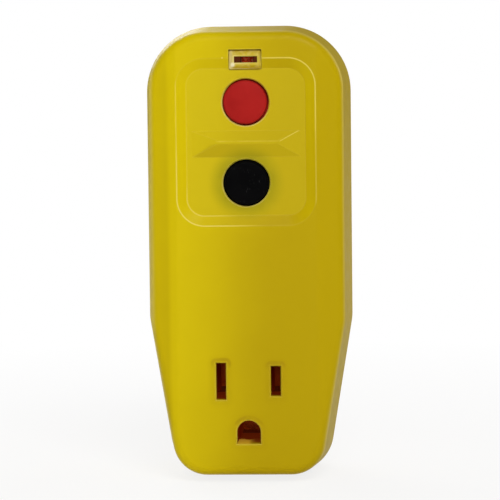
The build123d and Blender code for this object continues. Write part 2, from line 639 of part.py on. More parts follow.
def reset_spring():
    """The spring round the guide, between the mechanism frame and the reset button."""
    radius = RESET_STEM_RADIUS + GUIDE_GAP + FRAME_GUIDE_WALL + GUIDE_GAP + SPRING_WIRE / 2
    back = FRAME_FRONT + GUIDE_GAP + SPRING_WIRE / 2
    length = FLANGE_BACK - GUIDE_GAP - SPRING_WIRE / 2 - back
    spring = coil_spring(radius, SPRING_WIRE, SPRING_TURNS, length)
    return Pos(0, -back, RESET_Z) * Rot(90, 0, 0) * spring


def test_button():
    """The black button."""
    return button(TEST_Z, TEST_STEM_RADIUS, TEST_STEM_END)


def test_spring():
    """The test switch's leaf, on its post beside the mechanism."""
    back = TEST_LEAF_FRONT - TEST_LEAF_THICKNESS
    left = TEST_POST_X - TEST_POST_WIDTH / 2
    right = TEST_POST_X + TEST_POST_WIDTH / 2
    low, high = TEST_Z - TEST_LEAF_HALF_WIDTH, TEST_Z + TEST_LEAF_HALF_WIDTH
    post = block(left, right, BOARD_FRONT, back, low, high)
    leaf = block(-TEST_STEM_RADIUS - TEST_LEAF_OVERHANG, right, back, TEST_LEAF_FRONT, low, high)
    return post + leaf + rod(-TEST_STEM_RADIUS, TEST_Z, TEST_POINT_RADIUS, back - TEST_POINT_HEIGHT, back)


def test_contact():
    """The fixed contact of the test switch, behind the leaf's free end."""
    front = TEST_LEAF_FRONT - TEST_LEAF_THICKNESS - TEST_CONTACT_GAP
    back = front - STRIP_THICKNESS
    left = -TEST_POST_X - TEST_POST_WIDTH / 2
    right = -TEST_POST_X + TEST_POST_WIDTH / 2
    low, high = TEST_Z - TEST_LEAF_HALF_WIDTH, TEST_Z + TEST_LEAF_HALF_WIDTH
    return block(left, right, BOARD_FRONT, front, low, high) + block(left, 0, back, front, low, high)


def mechanism_frame():
    """The moulded frame on the board that guides the carriage, the plate and the stem."""
    frame = block(-FRAME_HALF_WIDTH, FRAME_HALF_WIDTH, BOARD_FRONT, FRAME_FRONT, FRAME_LOW, FRAME_HIGH)
    room = CARRIAGE_HALF_WIDTH + RUNNING_GAP
    frame -= block(-room, room, BOARD_FRONT - 1, FRAME_FRONT - FRAME_WALL,
                   CARRIAGE_LOW - RUNNING_GAP, CARRIAGE_HIGH + RUNNING_GAP)
    bore = RESET_STEM_RADIUS + GUIDE_GAP
    frame += rod(0, RESET_Z, bore + FRAME_GUIDE_WALL, FRAME_FRONT, GUIDE_FRONT)
    frame -= rod(0, RESET_Z, bore, FRAME_FRONT - FRAME_WALL - 1, GUIDE_FRONT + 1)
    window_back = WING_BACK - CARRIAGE_DROP - RUNNING_GAP
    tall = WING_HALF_HEIGHT + RUNNING_GAP
    frame -= block(-FRAME_HALF_WIDTH - 1, FRAME_HALF_WIDTH + 1, window_back, PAD_TOP + RUNNING_GAP,
                   RESET_Z - tall, RESET_Z + tall)
    tail = LATCH_HALF_WIDTH - LATCH_SHOULDER + RUNNING_GAP
    frame -= block(-tail, tail, LATCH_BACK - CARRIAGE_DROP - RUNNING_GAP,
                   LATCH_BACK + LATCH_THICKNESS + RUNNING_GAP, FRAME_LOW - 1, CARRIAGE_LOW)
    return frame


def contact_carriage():
    """The moulded carriage: latch rails below, a bore for the pin, wings under the arms."""
    body = block(-CARRIAGE_HALF_WIDTH, CARRIAGE_HALF_WIDTH, CARRIAGE_BACK, CARRIAGE_FRONT,
                 CARRIAGE_LOW, CARRIAGE_HIGH)
    groove = LATCH_HALF_WIDTH + LATCH_GAP
    lip = LATCH_BACK - LATCH_GAP
    for side in SIDES.values():
        inner, outer = sorted((side * groove, side * CARRIAGE_HALF_WIDTH))
        body += block(inner, outer, WING_BACK, CARRIAGE_BACK, CARRIAGE_LOW, CARRIAGE_HIGH)
        inner, outer = sorted((side * (groove - RAIL_LIP), side * groove))
        body += block(inner, outer, WING_BACK, lip, CARRIAGE_LOW, CARRIAGE_HIGH)
        inner, outer = sorted((side * (CARRIAGE_HALF_WIDTH - RAIL_LIP), side * WING_TIP))
        body += block(inner, outer, WING_BACK, PAD_TOP - PAD_RADIUS,
                      RESET_Z - WING_HALF_HEIGHT, RESET_Z + WING_HALF_HEIGHT)
        pad = Pos(inner, -(PAD_TOP - PAD_RADIUS), RESET_Z) * Rot(0, 90, 0)
        body += pad * Cylinder(PAD_RADIUS, outer - inner, align=STANDING)
    return body - rod(0, RESET_Z, CARRIAGE_BORE, WING_BACK - 1, CARRIAGE_FRONT + 1)


def latch_plate():
    """The steel plate that catches the pin, with a forked tab for the plunger."""
    back, front = LATCH_BACK, LATCH_BACK + LATCH_THICKNESS
    high = RESET_Z + LATCH_FREE + LATCH_FAR_EDGE
    low = CARRIAGE_LOW + TRIP_STROKE
    tail = LATCH_HALF_WIDTH - LATCH_SHOULDER
    plate = block(-LATCH_HALF_WIDTH, LATCH_HALF_WIDTH, back, front, low, high)
    plate += block(-tail, tail, back, front, TAB_Z, low)
    tab_end = SOLENOID_DEPTH + TAB_REACH
    plate += block(-tail, tail, front, tab_end, TAB_Z, TAB_Z + LATCH_THICKNESS)
    plate -= block(-LATCH_HOLE_HALF_WIDTH, LATCH_HOLE_HALF_WIDTH, back - 1, front + 1,
                   RESET_Z - LATCH_CATCH, RESET_Z + LATCH_FREE)
    notch = PLUNGER_NECK_RADIUS + FIT
    return plate - block(-notch, notch, SOLENOID_DEPTH - notch, tab_end + 1,
                         TAB_Z - 1, TAB_Z + LATCH_THICKNESS + 1)


def contact_arm(side):
    """One springy contact arm, with a rounded free end."""
    x, root = side * STRIP_X, ARM_HINGE_Z - ARM_HEEL
    face = Pos(x, (root + STRIP_TOP) / 2) * Rectangle(ARM_WIDTH, STRIP_TOP - root)
    face = fillet(face.vertices().group_by(Axis.Y)[-1], ARM_WIDTH * ROUNDING)
    return slab(face, ARM_BACK, ARM_FRONT)


def moving_contact(side):
    """The silver contact on an arm."""
    dome = rod(side * STRIP_X, CONTACT_Z, CONTACT_RADIUS, ARM_FRONT, MOVING_CONTACT_TIP)
    return chamfer(edges_at(dome, MOVING_CONTACT_TIP), CONTACT_CHAMFER)


def fixed_contact(side):
    """The silver contact on a feed strip."""
    dome = rod(side * STRIP_X, CONTACT_Z, CONTACT_RADIUS, FIXED_CONTACT_TIP, STRIP_BACK)
    return chamfer(edges_at(dome, FIXED_CONTACT_TIP), CONTACT_CHAMFER)


def arm_post(side):
    """The brass post that carries an arm's root, standing on the board."""
    x = side * STRIP_X
    half = ARM_WIDTH / 2 - POST_INSET
    seat = ARM_FRONT + FIT
    front, low = seat + POST_THICKNESS, POST_LEG_Z
    leg = block(x - half, x + half, BOARD_FRONT, front, low, low + POST_THICKNESS)
    return leg + block(x - half, x + half, seat, front, low, POST_TOP)


def socket_contact(side):
    """The outlet's stamped contact: a two-finger clip and its feed strip, in one piece."""
    x, feed = SLOT_X, STRIP_X
    half, wide, tall = CLIP_BASE_WIDTH / 2, STRIP_WIDTH / 2, CLIP_HEIGHT / 2
    outline = [
        (x - half, -tall),
        (x + half, -tall),
        (x + half, tall),
        (feed + wide, tall + STRIP_SHOULDER_HIGH),
        (feed + wide, STRIP_TOP),
        (feed - wide, STRIP_TOP),
        (feed - wide, tall + STRIP_SHOULDER_HIGH),
        (x - half, tall + STRIP_SHOULDER_LOW),
    ]
    stamping = slab(make_face(Polyline(*outline, close=True)), STRIP_BACK, STRIP_BACK + STRIP_THICKNESS)
    foot = STRIP_BACK + STRIP_THICKNESS / 2
    for hand in (1, -1):
        route = [
            (x + hand * CLIP_STANCE, foot),
            (x + hand * CLIP_STANCE, foot + CLIP_SHANK),
            (x + hand * CLIP_PINCH, CLIP_TIP_DEPTH - CLIP_LIP),
            (x + hand * CLIP_MOUTH, CLIP_TIP_DEPTH),
        ]
        stamping += strip(route, CLIP_GAUGE, -tall, tall, CLIP_BEND)
    return stamping if side > 0 else stamping.mirror(Plane.YZ)


def ground_socket_contact():
    """The ground clip: a base riveted to the ground pin, and two fingers."""
    low, high = GROUND_Z - GROUND_CLIP_HEIGHT / 2, GROUND_Z + GROUND_CLIP_HEIGHT / 2
    stance = GROUND_CLIP_HALF_GAP + CLIP_GAUGE / 2
    base = block(-stance - CLIP_GAUGE / 2, stance + CLIP_GAUGE / 2, GROUND_CLIP_BACK,
                 GROUND_CLIP_BACK + STRIP_THICKNESS, low, high)
    for hand in (1, -1):
        route = [
            (hand * stance, GROUND_CLIP_BACK + STRIP_THICKNESS / 2),
            (hand * stance, CLIP_TIP_DEPTH - GROUND_CLIP_LIP),
            (hand * (stance + GROUND_CLIP_FLARE), CLIP_TIP_DEPTH - GROUND_CLIP_END),
        ]
        base += strip(route, CLIP_GAUGE, low, high, CLIP_BEND)
    return base - rod(0, GROUND_Z, RIVET_RADIUS + FIT / 4, GROUND_CLIP_BACK - 1, GROUND_CLIP_BACK + 2)


def holder_sketch():
    """The outline that both contact holders share, narrow between the lower screws."""
    outline = [
        (-HOLDER_HALF_WIDTH, HOLDER_TOP),
        (HOLDER_HALF_WIDTH, HOLDER_TOP),
        (HOLDER_HALF_WIDTH, HOLDER_WAIST_Z),
        (HOLDER_LOW_HALF_WIDTH, HOLDER_WAIST_Z),
        (HOLDER_LOW_HALF_WIDTH, HOLDER_BOTTOM),
        (-HOLDER_LOW_HALF_WIDTH, HOLDER_BOTTOM),
        (-HOLDER_LOW_HALF_WIDTH, HOLDER_WAIST_Z),
        (-HOLDER_HALF_WIDTH, HOLDER_WAIST_Z),
    ]
    return make_face(Polyline(*outline, close=True))


def socket_holder():
    """The moulding that backs the outlet's contacts, on legs that stand on the blade holder."""
    holder = slab(holder_sketch(), SOCKET_HOLDER_BACK, STRIP_BACK)
    half = GROUND_CLIP_HALF_GAP + CLIP_GAUGE + RUNNING_GAP
    tall = GROUND_CLIP_HEIGHT / 2 + RUNNING_GAP
    holder -= block(-half, half, SOCKET_HOLDER_BACK - 1, STRIP_BACK + 1, GROUND_Z - tall, GROUND_Z + tall)
    holder -= rod(0, GROUND_Z, PIN_NECK_RADIUS + RUNNING_GAP, SOCKET_HOLDER_BACK - 1, STRIP_BACK + 1)
    for side in SIDES.values():
        inner, outer = sorted((side * (HOLDER_HALF_WIDTH - HOLDER_LEG), side * HOLDER_HALF_WIDTH))
        holder += block(inner, outer, BLADE_HOLDER_FRONT, SOCKET_HOLDER_BACK, HOLDER_WAIST_Z, 0)
    return holder


def blade_sketch(grow=0.0):
    """A blade's side view in z and depth: straight shank, chamfered tip, wide inner shoulder."""
    half, wide = BLADE_WIDTH / 2 + grow, BLADE_SHOULDER_WIDTH / 2 + grow
    tip, root = BLADE_LENGTH + grow, BLADE_ROOT_DEPTH + grow
    shoulder = BACK_WALL + BLADE_SHOULDER_DEPTH + grow
    outline = [
        (tip, half - BLADE_TIP_CHAMFER),
        (tip - 2 * BLADE_TIP_CHAMFER, half),
        (-BACK_WALL, half),
        (-BACK_WALL, wide),
        (-shoulder, wide),
        (-shoulder, half),
        (-root, half),
    ]
    mirrored = [(depth, -z) for depth, z in reversed(outline)]
    return make_face(Polyline(*outline, *mirrored, close=True))


def blade(side):
    """One flat blade of the plug, with the hole near its tip."""
    sheet = Plane.YZ.offset(side * SLOT_X - BLADE_THICKNESS / 2) * blade_sketch()
    shape = extrude(sheet, amount=BLADE_THICKNESS)
    tip = edges_at(shape, -BLADE_LENGTH).filter_by(Axis.Z)
    shape = chamfer(tip, BLADE_TIP_BEVEL)
    hole = Pos(side * SLOT_X, BLADE_LENGTH - BLADE_HOLE_FROM_TIP, 0) * Rot(0, 90, 0)
    return shape - hole * Cylinder(BLADE_HOLE_RADIUS, 2 * BLADE_THICKNESS)


def ground_pin():
    """The round ground pin, its inner flange and the rivet that holds the ground clip."""
    pin = rod(0, GROUND_Z, PIN_RADIUS, -PIN_LENGTH, 0)
    pin = fillet(edges_at(pin, -PIN_LENGTH), PIN_TIP_RADIUS)
    pin += rod(0, GROUND_Z, PIN_NECK_RADIUS, 0, GROUND_CLIP_BACK)
    pin += rod(0, GROUND_Z, PIN_FLANGE_RADIUS, BACK_WALL, BACK_WALL + PIN_FLANGE_THICKNESS)
    clip_front = GROUND_CLIP_BACK + STRIP_THICKNESS
    pin += rod(0, GROUND_Z, RIVET_RADIUS, GROUND_CLIP_BACK, clip_front)
    return pin + rod(0, GROUND_Z, RIVET_HEAD_RADIUS, clip_front, clip_front + RIVET_HEAD)


def blade_holder():
    """The moulding that locks the blades and the ground pin against the back wall."""
    holder = slab(holder_sketch(), BACK_WALL, BLADE_HOLDER_FRONT)
    for side in SIDES.values():
        room = BLADE_THICKNESS / 2 + FIT / 2
        sheet = Plane.YZ.offset(side * SLOT_X - room) * blade_sketch(FIT / 2)
        holder -= extrude(sheet, amount=2 * room)
    holder -= rod(0, GROUND_Z, PIN_NECK_RADIUS + FIT / 2, BACK_WALL - 1, BLADE_HOLDER_FRONT + 1)
    flange = PIN_FLANGE_RADIUS + FIT / 2
    return holder - rod(0, GROUND_Z, flange, BACK_WALL - 1, BACK_WALL + PIN_FLANGE_THICKNESS + FIT / 2)


def conductor(side):
    """One insulated wire, from a blade's root through both rings to the post of its arm."""
    x, root = side * SLOT_X, BLADE_WIDTH / 2
    near, post = side * WIRE_X, side * STRIP_X
    ring_low = RING_CENTRES["neutral"] - RING_CORE_HEIGHT
    ring_high = RING_CENTRES["sense"] + RING_CORE_HEIGHT
    points = [
        (x, -WIRE_ROOT_DEPTH, root),
        (x, -WIRE_ROOT_DEPTH, root + WIRE_ROOT_RISE),
        (near, -RING_DEPTH, ring_low - WIRE_LEAD_IN),
        (near, -RING_DEPTH, ring_high + WIRE_LEAD_OUT),
        (side * WIRE_SPREAD_X, WIRE_SPREAD_BACK - RING_DEPTH, WIRE_SPREAD_Z),
        (post, -WIRE_POST_DEPTH, POST_LEG_Z - WIRE_POST_DROP),
        (post, -WIRE_POST_DEPTH, POST_LEG_Z),
    ]
    route = FilletPolyline(*points, radius=WIRE_BENDS)
    section = RegularPolygon(WIRE_RADIUS, WIRE_SIDES)
    return sweep(Plane(origin=route @ 0, z_dir=route % 0) * section, path=route)


def ring_core(z):
    """A current transformer's ferrite ring, lying flat round the wires."""
    ring = Circle(RING_CORE_OUTER) - Circle(RING_CORE_INNER)
    low = z - RING_CORE_HEIGHT / 2
    return extrude(Plane.XY.offset(low) * (Pos(0, -RING_DEPTH) * ring), amount=RING_CORE_HEIGHT)


def ring_winding(z):
    """The wound wire round a ring, open over a short stretch where the ends come out."""
    middle = (RING_CORE_OUTER + RING_CORE_INNER) / 2
    core_width = RING_CORE_OUTER - RING_CORE_INNER
    gap = FIT / 4
    outer = Rectangle(core_width + 2 * WINDING_THICKNESS, RING_CORE_HEIGHT + 2 * WINDING_THICKNESS)
    inner = Rectangle(core_width + 2 * gap, RING_CORE_HEIGHT + 2 * gap)
    section = Plane.XZ * (Pos(middle, 0) * (outer - inner))
    wound = revolve(section, axis=Axis.Z, revolution_arc=WINDING_ANGLE)
    return Pos(0, -RING_DEPTH, z) * Rot(0, 0, -WINDING_ANGLE / 2 - 90) * wound


def ring_cradle():
    """The moulded cradle on the board that holds both rings."""
    high = RING_CENTRES["sense"] + RING_CORE_HEIGHT / 2 + WINDING_THICKNESS
    low = BOARD_BOTTOM + CRADLE_MARGIN
    cradle = block(-WINDING_OUTER, WINDING_OUTER, BOARD_FRONT, RING_DEPTH - CRADLE_HOLD, low, high)
    return cradle - upright(0, RING_DEPTH, WINDING_OUTER + RUNNING_GAP, low - 1, high + 1)


def circuit_board():
    """The board: it follows the case, with a notch round each upper boss."""
    draft = BACK_SLOPE * (PARTING_DEPTH - BOARD_BACK)
    outline = PARTING_OUTLINE.inset(draft + SIDE_WALL + BOARD_CLEARANCE).sketch()
    height = 2 * PARTING_OUTLINE.top
    above = Pos(0, BOARD_BOTTOM + height / 2) * Rectangle(height, height)
    board = slab(outline & above, BOARD_BACK, BOARD_FRONT)
    for x, z in SCREWS:
        board -= rod(x, z, REAR_BOSS_RADIUS + RUNNING_GAP, BOARD_BACK - 1, BOARD_FRONT + 1)
    return board


def solenoid_yoke():
    """The steel bracket round the coil, with its fixed pole."""
    back = SOLENOID_DEPTH - YOKE_HALF_WIDTH - YOKE_STANDOFF
    front = SOLENOID_DEPTH + YOKE_HALF_WIDTH
    wide, thick = YOKE_HALF_WIDTH, YOKE_THICKNESS
    yoke = block(-wide, wide, back, back + thick, YOKE_LOW, YOKE_HIGH)
    yoke += block(-wide, wide, back, front, YOKE_LOW, YOKE_LOW + thick)
    yoke += block(-wide, wide, back, front, YOKE_HIGH - thick, YOKE_HIGH)
    yoke -= upright(0, SOLENOID_DEPTH, PLUNGER_RADIUS + GUIDE_GAP, YOKE_HIGH - thick - 1, YOKE_HIGH + 1)
    foot = block(-wide + YOKE_FOOT_INSET, wide - YOKE_FOOT_INSET, BOARD_FRONT, back,
                 YOKE_LOW + YOKE_FOOT_INSET, YOKE_HIGH - YOKE_FOOT_INSET)
    pole = upright(0, SOLENOID_DEPTH, PLUNGER_RADIUS, YOKE_LOW + thick, YOKE_LOW + thick + POLE_HEIGHT)
    return yoke + foot + pole


def bobbin():
    """The coil's plastic bobbin."""
    low, high = YOKE_LOW + YOKE_THICKNESS, YOKE_HIGH - YOKE_THICKNESS
    bore = PLUNGER_RADIUS + GUIDE_GAP
    spool = upright(0, SOLENOID_DEPTH, bore + BOBBIN_WALL, low, high)
    for start in (low, high - BOBBIN_FLANGE):
        spool += upright(0, SOLENOID_DEPTH, COIL_RADIUS + BOBBIN_LIP, start, start + BOBBIN_FLANGE)
    return spool - upright(0, SOLENOID_DEPTH, bore, low - 1, high + 1)


def coil():
    """The solenoid's winding between the bobbin's flanges."""
    low = YOKE_LOW + YOKE_THICKNESS + BOBBIN_FLANGE
    high = YOKE_HIGH - YOKE_THICKNESS - BOBBIN_FLANGE
    inner = PLUNGER_RADIUS + GUIDE_GAP + BOBBIN_WALL
    winding = upright(0, SOLENOID_DEPTH, COIL_RADIUS, low, high)
    return winding - upright(0, SOLENOID_DEPTH, inner, low - 1, high + 1)


def plunger():
    """The plunger: its shoulder and head take the latch plate's tab between them."""
    shoulder = TAB_Z - RUNNING_GAP
    head = TAB_Z + LATCH_THICKNESS + LATCH_GAP
    body = upright(0, SOLENOID_DEPTH, PLUNGER_RADIUS, PLUNGER_BOTTOM, shoulder)
    body += upright(0, SOLENOID_DEPTH, PLUNGER_NECK_RADIUS, shoulder, head)
    return body + upright(0, SOLENOID_DEPTH, PLUNGER_HEAD_RADIUS, head, head + PLUNGER_HEAD)


def plunger_spring():
    """The return spring between the plunger and the fixed pole."""
    wire = RETURN_SPRING_WIRE
    low = YOKE_LOW + YOKE_THICKNESS + POLE_HEIGHT + wire / 2 + GUIDE_GAP
    length = PLUNGER_BOTTOM - GUIDE_GAP - wire / 2 - low
    return Pos(0, -SOLENOID_DEPTH, low) * coil_spring(RETURN_SPRING_RADIUS, wire, RETURN_SPRING_TURNS, length)


def on_board(shape, x, z, above=0.0):
    """A component stood on the board: its local +Z points forwards, out of the board."""
    return Pos(x, -BOARD_FRONT - above, z) * Rot(90, 0, 0) * shape


def leads(pitch, length):
    """Two straight leads, a pitch apart."""
    return [Pos(s * pitch / 2, 0, 0) * Box(LEAD, LEAD, length, align=STANDING) for s in (1, -1)]


def dipped_disc(radius, thickness, pitch, gap):
    """A coated disc that stands on edge, a gap above the board, on its two leads."""
    disc = Pos(0, 0, gap + radius) * Rot(90, 0, 0) * Cylinder(radius, thickness)
    drop = radius - sqrt(radius**2 - (pitch / 2 + LEAD) ** 2)
    return disc + leads(pitch, gap + drop + LEAD_INTO_BODY)


def varistor():
    """The surge absorber: a coated disc on two leads."""
    disc = dipped_disc(VARISTOR_RADIUS, VARISTOR_THICKNESS, VARISTOR_PITCH, DISC_GAP)
    return on_board(disc, *VARISTOR_PLACE)


def ceramic_capacitors():
    """Two small disc capacitors."""
    disc = dipped_disc(CERAMIC_RADIUS, CERAMIC_THICKNESS, CERAMIC_PITCH, CERAMIC_GAP)
    return Compound(children=[on_board(disc, *place) for place in CERAMIC_PLACES])


def trigger_scr():
    """The thyristor that fires the solenoid: a flat-faced round body on three legs."""
    body = Pos(0, 0, SCR_RISE) * Cylinder(SCR_RADIUS, SCR_HEIGHT, align=STANDING)
    body -= Pos(0, SCR_FLAT + SCR_RADIUS, SCR_RISE + SCR_HEIGHT / 2) * Box(*[2 * SCR_RADIUS] * 2, SCR_HEIGHT)
    leg = Box(LEAD, LEAD, SCR_RISE + LEAD_INTO_BODY, align=STANDING)
    return on_board(body + [Pos(step * SCR_PITCH, 0, 0) * leg for step in (-1, 0, 1)], *SCR_PLACE)


def filter_capacitor():
    """The smoothing capacitor: a can with a rolled groove."""
    can = Cylinder(CAN_RADIUS, CAN_HEIGHT, align=STANDING)
    ring = Circle(CAN_RADIUS + FIT) - Circle(CAN_RADIUS - CAN_GROOVE_DEPTH)
    groove = extrude(Plane.XY.offset(CAN_GROOVE_Z) * ring, amount=CAN_GROOVE_HEIGHT)
    return on_board(can - groove, *CAN_PLACE, above=AXIAL_CLEARANCE)


def axial(length, radius):
    """An axial component that lies across the board with its leads bent down."""
    height = radius + AXIAL_CLEARANCE
    reach = length / 2 + AXIAL_LEAD
    body = Pos(0, 0, height) * Rot(0, 90, 0) * Cylinder(radius, length)
    lead = Pos(0, 0, height) * Box(2 * reach, LEAD, LEAD)
    return body + lead + leads(2 * reach, height)


def row(shape, place, pitch):
    """The same component several times, one above the other."""
    x, z = place
    return Compound(children=[on_board(shape, x, z + pitch * number) for number in range(ROW_COUNT)])


def rectifier_diodes():
    """Four rectifier diodes in a row."""
    return row(axial(DIODE_LENGTH, DIODE_RADIUS), DIODE_PLACE, DIODE_PITCH)


def signal_resistors():
    """Four small resistors in a row."""
    return row(axial(RESISTOR_LENGTH, RESISTOR_RADIUS), RESISTOR_PLACE, RESISTOR_PITCH)


def test_resistor():
    """The resistor that lets the test button draw a small leakage current."""
    return on_board(axial(TEST_RESISTOR_LENGTH, TEST_RESISTOR_RADIUS), *TEST_RESISTOR_PLACE)


def controller_chip():
    """The control chip on the board's back: a body with eight bent-down legs."""
    front = BOARD_BACK - CHIP_STANDOFF
    wide, inset = CHIP_HALF_WIDTH, (CHIP_HIGH - CHIP_LOW - 3 * CHIP_LEG_PITCH) / 2
    body = block(-wide, wide, front - CHIP_THICKNESS, front, CHIP_LOW, CHIP_HIGH)
    for side in SIDES.values():
        inner, outer = sorted((side * (wide - LEAD_INTO_BODY), side * CHIP_LEG_SPAN))
        for leg in range(ROW_COUNT):
            low = CHIP_LOW + inset + CHIP_LEG_PITCH * leg - CHIP_LEG_WIDTH / 2
            body += block(inner, outer, BOARD_BACK - CHIP_LEG_HEIGHT, BOARD_BACK, low, low + CHIP_LEG_WIDTH)
    return body


NODES = {
    "front_cover": front_cover(),
    "rear_cover": rear_cover(),
    "cover_screws": cover_screws(),
    "indicator_window": indicator_window(),
    "indicator_lamp": indicator_lamp(),
    "reset_button": reset_button(),
    "reset_pin": reset_pin(),
    "reset_spring": reset_spring(),
    "test_button": test_button(),
    "test_spring": test_spring(),
    "test_contact": test_contact(),
    "mechanism_frame": mechanism_frame(),
    "contact_carriage": contact_carriage(),
    "latch_plate": latch_plate(),
    "solenoid_yoke": solenoid_yoke(),
    "solenoid_bobbin": bobbin(),
    "solenoid_coil": coil(),
    "solenoid_plunger": plunger(),
    "plunger_spring": plunger_spring(),
    "ground_socket_contact": ground_socket_contact(),
    "socket_holder": socket_holder(),
    "blade_holder": blade_holder(),
    "ground_pin": ground_pin(),
    "transformer_cradle": ring_cradle(),
    "circuit_board": circuit_board(),
    "varistor": varistor(),
    "trigger_scr": trigger_scr(),
    "controller_chip": controller_chip(),
    "filter_capacitor": filter_capacitor(),
    "ceramic_capacitors": ceramic_capacitors(),
    "rectifier_diodes": rectifier_diodes(),
    "signal_resistors": signal_resistors(),
    "test_resistor": test_resistor(),
}
for line, side in SIDES.items():
    NODES[f"{line}_blade"] = blade(side)
    NODES[f"{line}_conductor"] = conductor(side)
    NODES[f"{line}_contact_arm"] = contact_arm(side)
    NODES[f"{line}_moving_contact"] = moving_contact(side)
    NODES[f"{line}_fixed_contact"] = fixed_contact(side)
    NODES[f"{line}_arm_post"] = arm_post(side)
    NODES[f"{line}_socket_contact"] = socket_contact(side)
for ring, centre in RING_CENTRES.items():
    NODES[f"{ring}_core"] = ring_core(centre)
    NODES[f"{ring}_winding"] = ring_winding(centre)

os.makedirs("parts", exist_ok=True)
for name, shape in NODES.items():
    export_step(shape, f"parts/{name}.step")
print(len(NODES), "sub-parts written")
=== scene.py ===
"""Looks, light and camera for a plug-in ground fault interrupter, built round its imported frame.

Lengths are in metres in the frame's own axes: +X to the right, -Y to the front and +Z up, with
the origin on the wall face between the two flat blades. A depth is the distance in front of it.
"""

import logging
import math
from abc import ABC, abstractmethod
from dataclasses import dataclass, field
from enum import Enum

import bpy
import numpy as np
from mathutils import Matrix, Vector

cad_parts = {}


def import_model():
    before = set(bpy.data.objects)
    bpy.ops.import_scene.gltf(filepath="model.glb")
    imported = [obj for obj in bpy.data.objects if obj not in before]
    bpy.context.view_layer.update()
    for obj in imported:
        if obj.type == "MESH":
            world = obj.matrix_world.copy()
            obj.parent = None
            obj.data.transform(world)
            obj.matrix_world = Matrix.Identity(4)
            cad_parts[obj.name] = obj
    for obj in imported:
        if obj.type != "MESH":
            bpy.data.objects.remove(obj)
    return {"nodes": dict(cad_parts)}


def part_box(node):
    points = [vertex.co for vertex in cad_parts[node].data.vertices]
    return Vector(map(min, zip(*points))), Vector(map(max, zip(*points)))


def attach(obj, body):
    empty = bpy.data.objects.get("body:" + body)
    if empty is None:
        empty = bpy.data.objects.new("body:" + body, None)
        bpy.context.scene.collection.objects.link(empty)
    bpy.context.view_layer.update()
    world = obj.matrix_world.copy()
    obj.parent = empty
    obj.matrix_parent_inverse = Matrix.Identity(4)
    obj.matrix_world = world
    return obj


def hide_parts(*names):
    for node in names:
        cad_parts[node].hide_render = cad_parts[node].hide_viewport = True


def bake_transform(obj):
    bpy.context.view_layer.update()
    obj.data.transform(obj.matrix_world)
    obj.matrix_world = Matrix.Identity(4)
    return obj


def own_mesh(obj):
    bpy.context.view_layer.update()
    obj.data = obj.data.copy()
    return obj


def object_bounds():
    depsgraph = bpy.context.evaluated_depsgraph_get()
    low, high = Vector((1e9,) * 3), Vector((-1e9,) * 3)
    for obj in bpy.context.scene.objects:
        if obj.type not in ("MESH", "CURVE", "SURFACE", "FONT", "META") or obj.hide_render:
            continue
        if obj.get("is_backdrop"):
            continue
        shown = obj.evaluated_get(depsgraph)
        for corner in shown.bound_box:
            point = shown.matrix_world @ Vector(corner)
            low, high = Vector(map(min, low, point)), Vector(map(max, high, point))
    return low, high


LOG = logging.getLogger("interrupter")
MM = 0.001
SHARP_ANGLE = math.radians(38)
RING_SIDES = 96
WIRE_SIDES = 8
EDGE_LEAN = (0.995, 0.9)

# Kinds of value: a Value is what a number's socket takes, another node's output or a number
Colour = tuple[float, float, float, float]
Point = tuple[float, float, float]
Pair = tuple[float, float]
Socket = bpy.types.NodeSocket
Value = Socket | float
WHITE: Colour = (1.0, 1.0, 1.0, 1.0)

# The noise at which a cloud of another tone starts, and at which it is full
CLOUD: Pair = (0.3, 0.7)
SWIRL: Pair = (0.35, 0.7)


def srgb(red: int, green: int, blue: int) -> Colour:
    """Turns a display colour into the linear colour that a shader takes.

    Args:
        red: The display colour's red, 0 to 255.
        green: Its green.
        blue: Its blue.

    Returns:
        The linear colour, with an alpha of 1.
    """
    shares = np.array([red, green, blue]) / 255
    linear = np.where(shares <= 0.04045, shares / 12.92, ((shares + 0.055) / 1.055) ** 2.4)
    return (*linear.tolist(), 1.0)


# The painted glow that stands for light coming through the yellow plastic to what lies just inside the
# outlet
THROUGH_CASE = srgb(98, 30, 3)
# The tin on leads
TIN = srgb(208, 208, 202)


class Direction(Enum):
    """A direction that a piece is turned round, with the two directions across it."""

    FORWARDS = ((0, -1, 0), (1, 0, 0), (0, 0, 1))
    BACKWARDS = ((0, 1, 0), (1, 0, 0), (0, 0, -1))
    UPWARDS = ((0, 0, 1), (1, 0, 0), (0, 1, 0))

    def basis(self) -> np.ndarray:
        """The three directions as the rows of a matrix: along, across and across again."""
        return np.array(self.value, float)


# Surfaces


@dataclass
class Surface:
    """A mesh in the making: points and faces, as arrays."""

    points: np.ndarray
    faces: list[np.ndarray] = field(default_factory=list)

    def volume(self) -> float:
        """The signed volume: a sixth of the sum of each triangle's corners' triple product.

        Returns:
            The volume, above 0 where the faces are turned outwards.
        """
        total = 0.0
        for block in self.faces:
            corners = self.points[block]
            for second in range(1, block.shape[1] - 1):
                crossed = np.cross(corners[:, second], corners[:, second + 1])
                total += float((corners[:, 0] * crossed).sum()) / 6
        return total

    def outward(self) -> "Surface":
        """The same closed surface with its faces turned outwards.

        Returns:
            The surface itself.
        """
        if self.volume() < 0:
            self.faces = [block[:, ::-1] for block in self.faces]
        return self

    def placed(self, centre: np.ndarray | Point, direction: Direction) -> "Surface":
        """The surface moved from local (along, across, across) coordinates to a centre in the frame."""
        self.points = self.points @ direction.basis() + np.asarray(centre, float)
        return self


def grid_quads(rows: int, columns: int) -> np.ndarray:
    """The quads between rings of points, stored ring by ring.

    Args:
        rows: How many rings there are.
        columns: How many points one ring has.

    Returns:
        The point numbers of each quad's corners.
    """
    row, column = np.meshgrid(np.arange(rows - 1), np.arange(columns), indexing="ij")
    beside = (column + 1) % columns
    corners = [(row, column), (row + 1, column), (row + 1, beside), (row, beside)]
    return np.stack([r * columns + c for r, c in corners], -1).reshape(-1, 4)


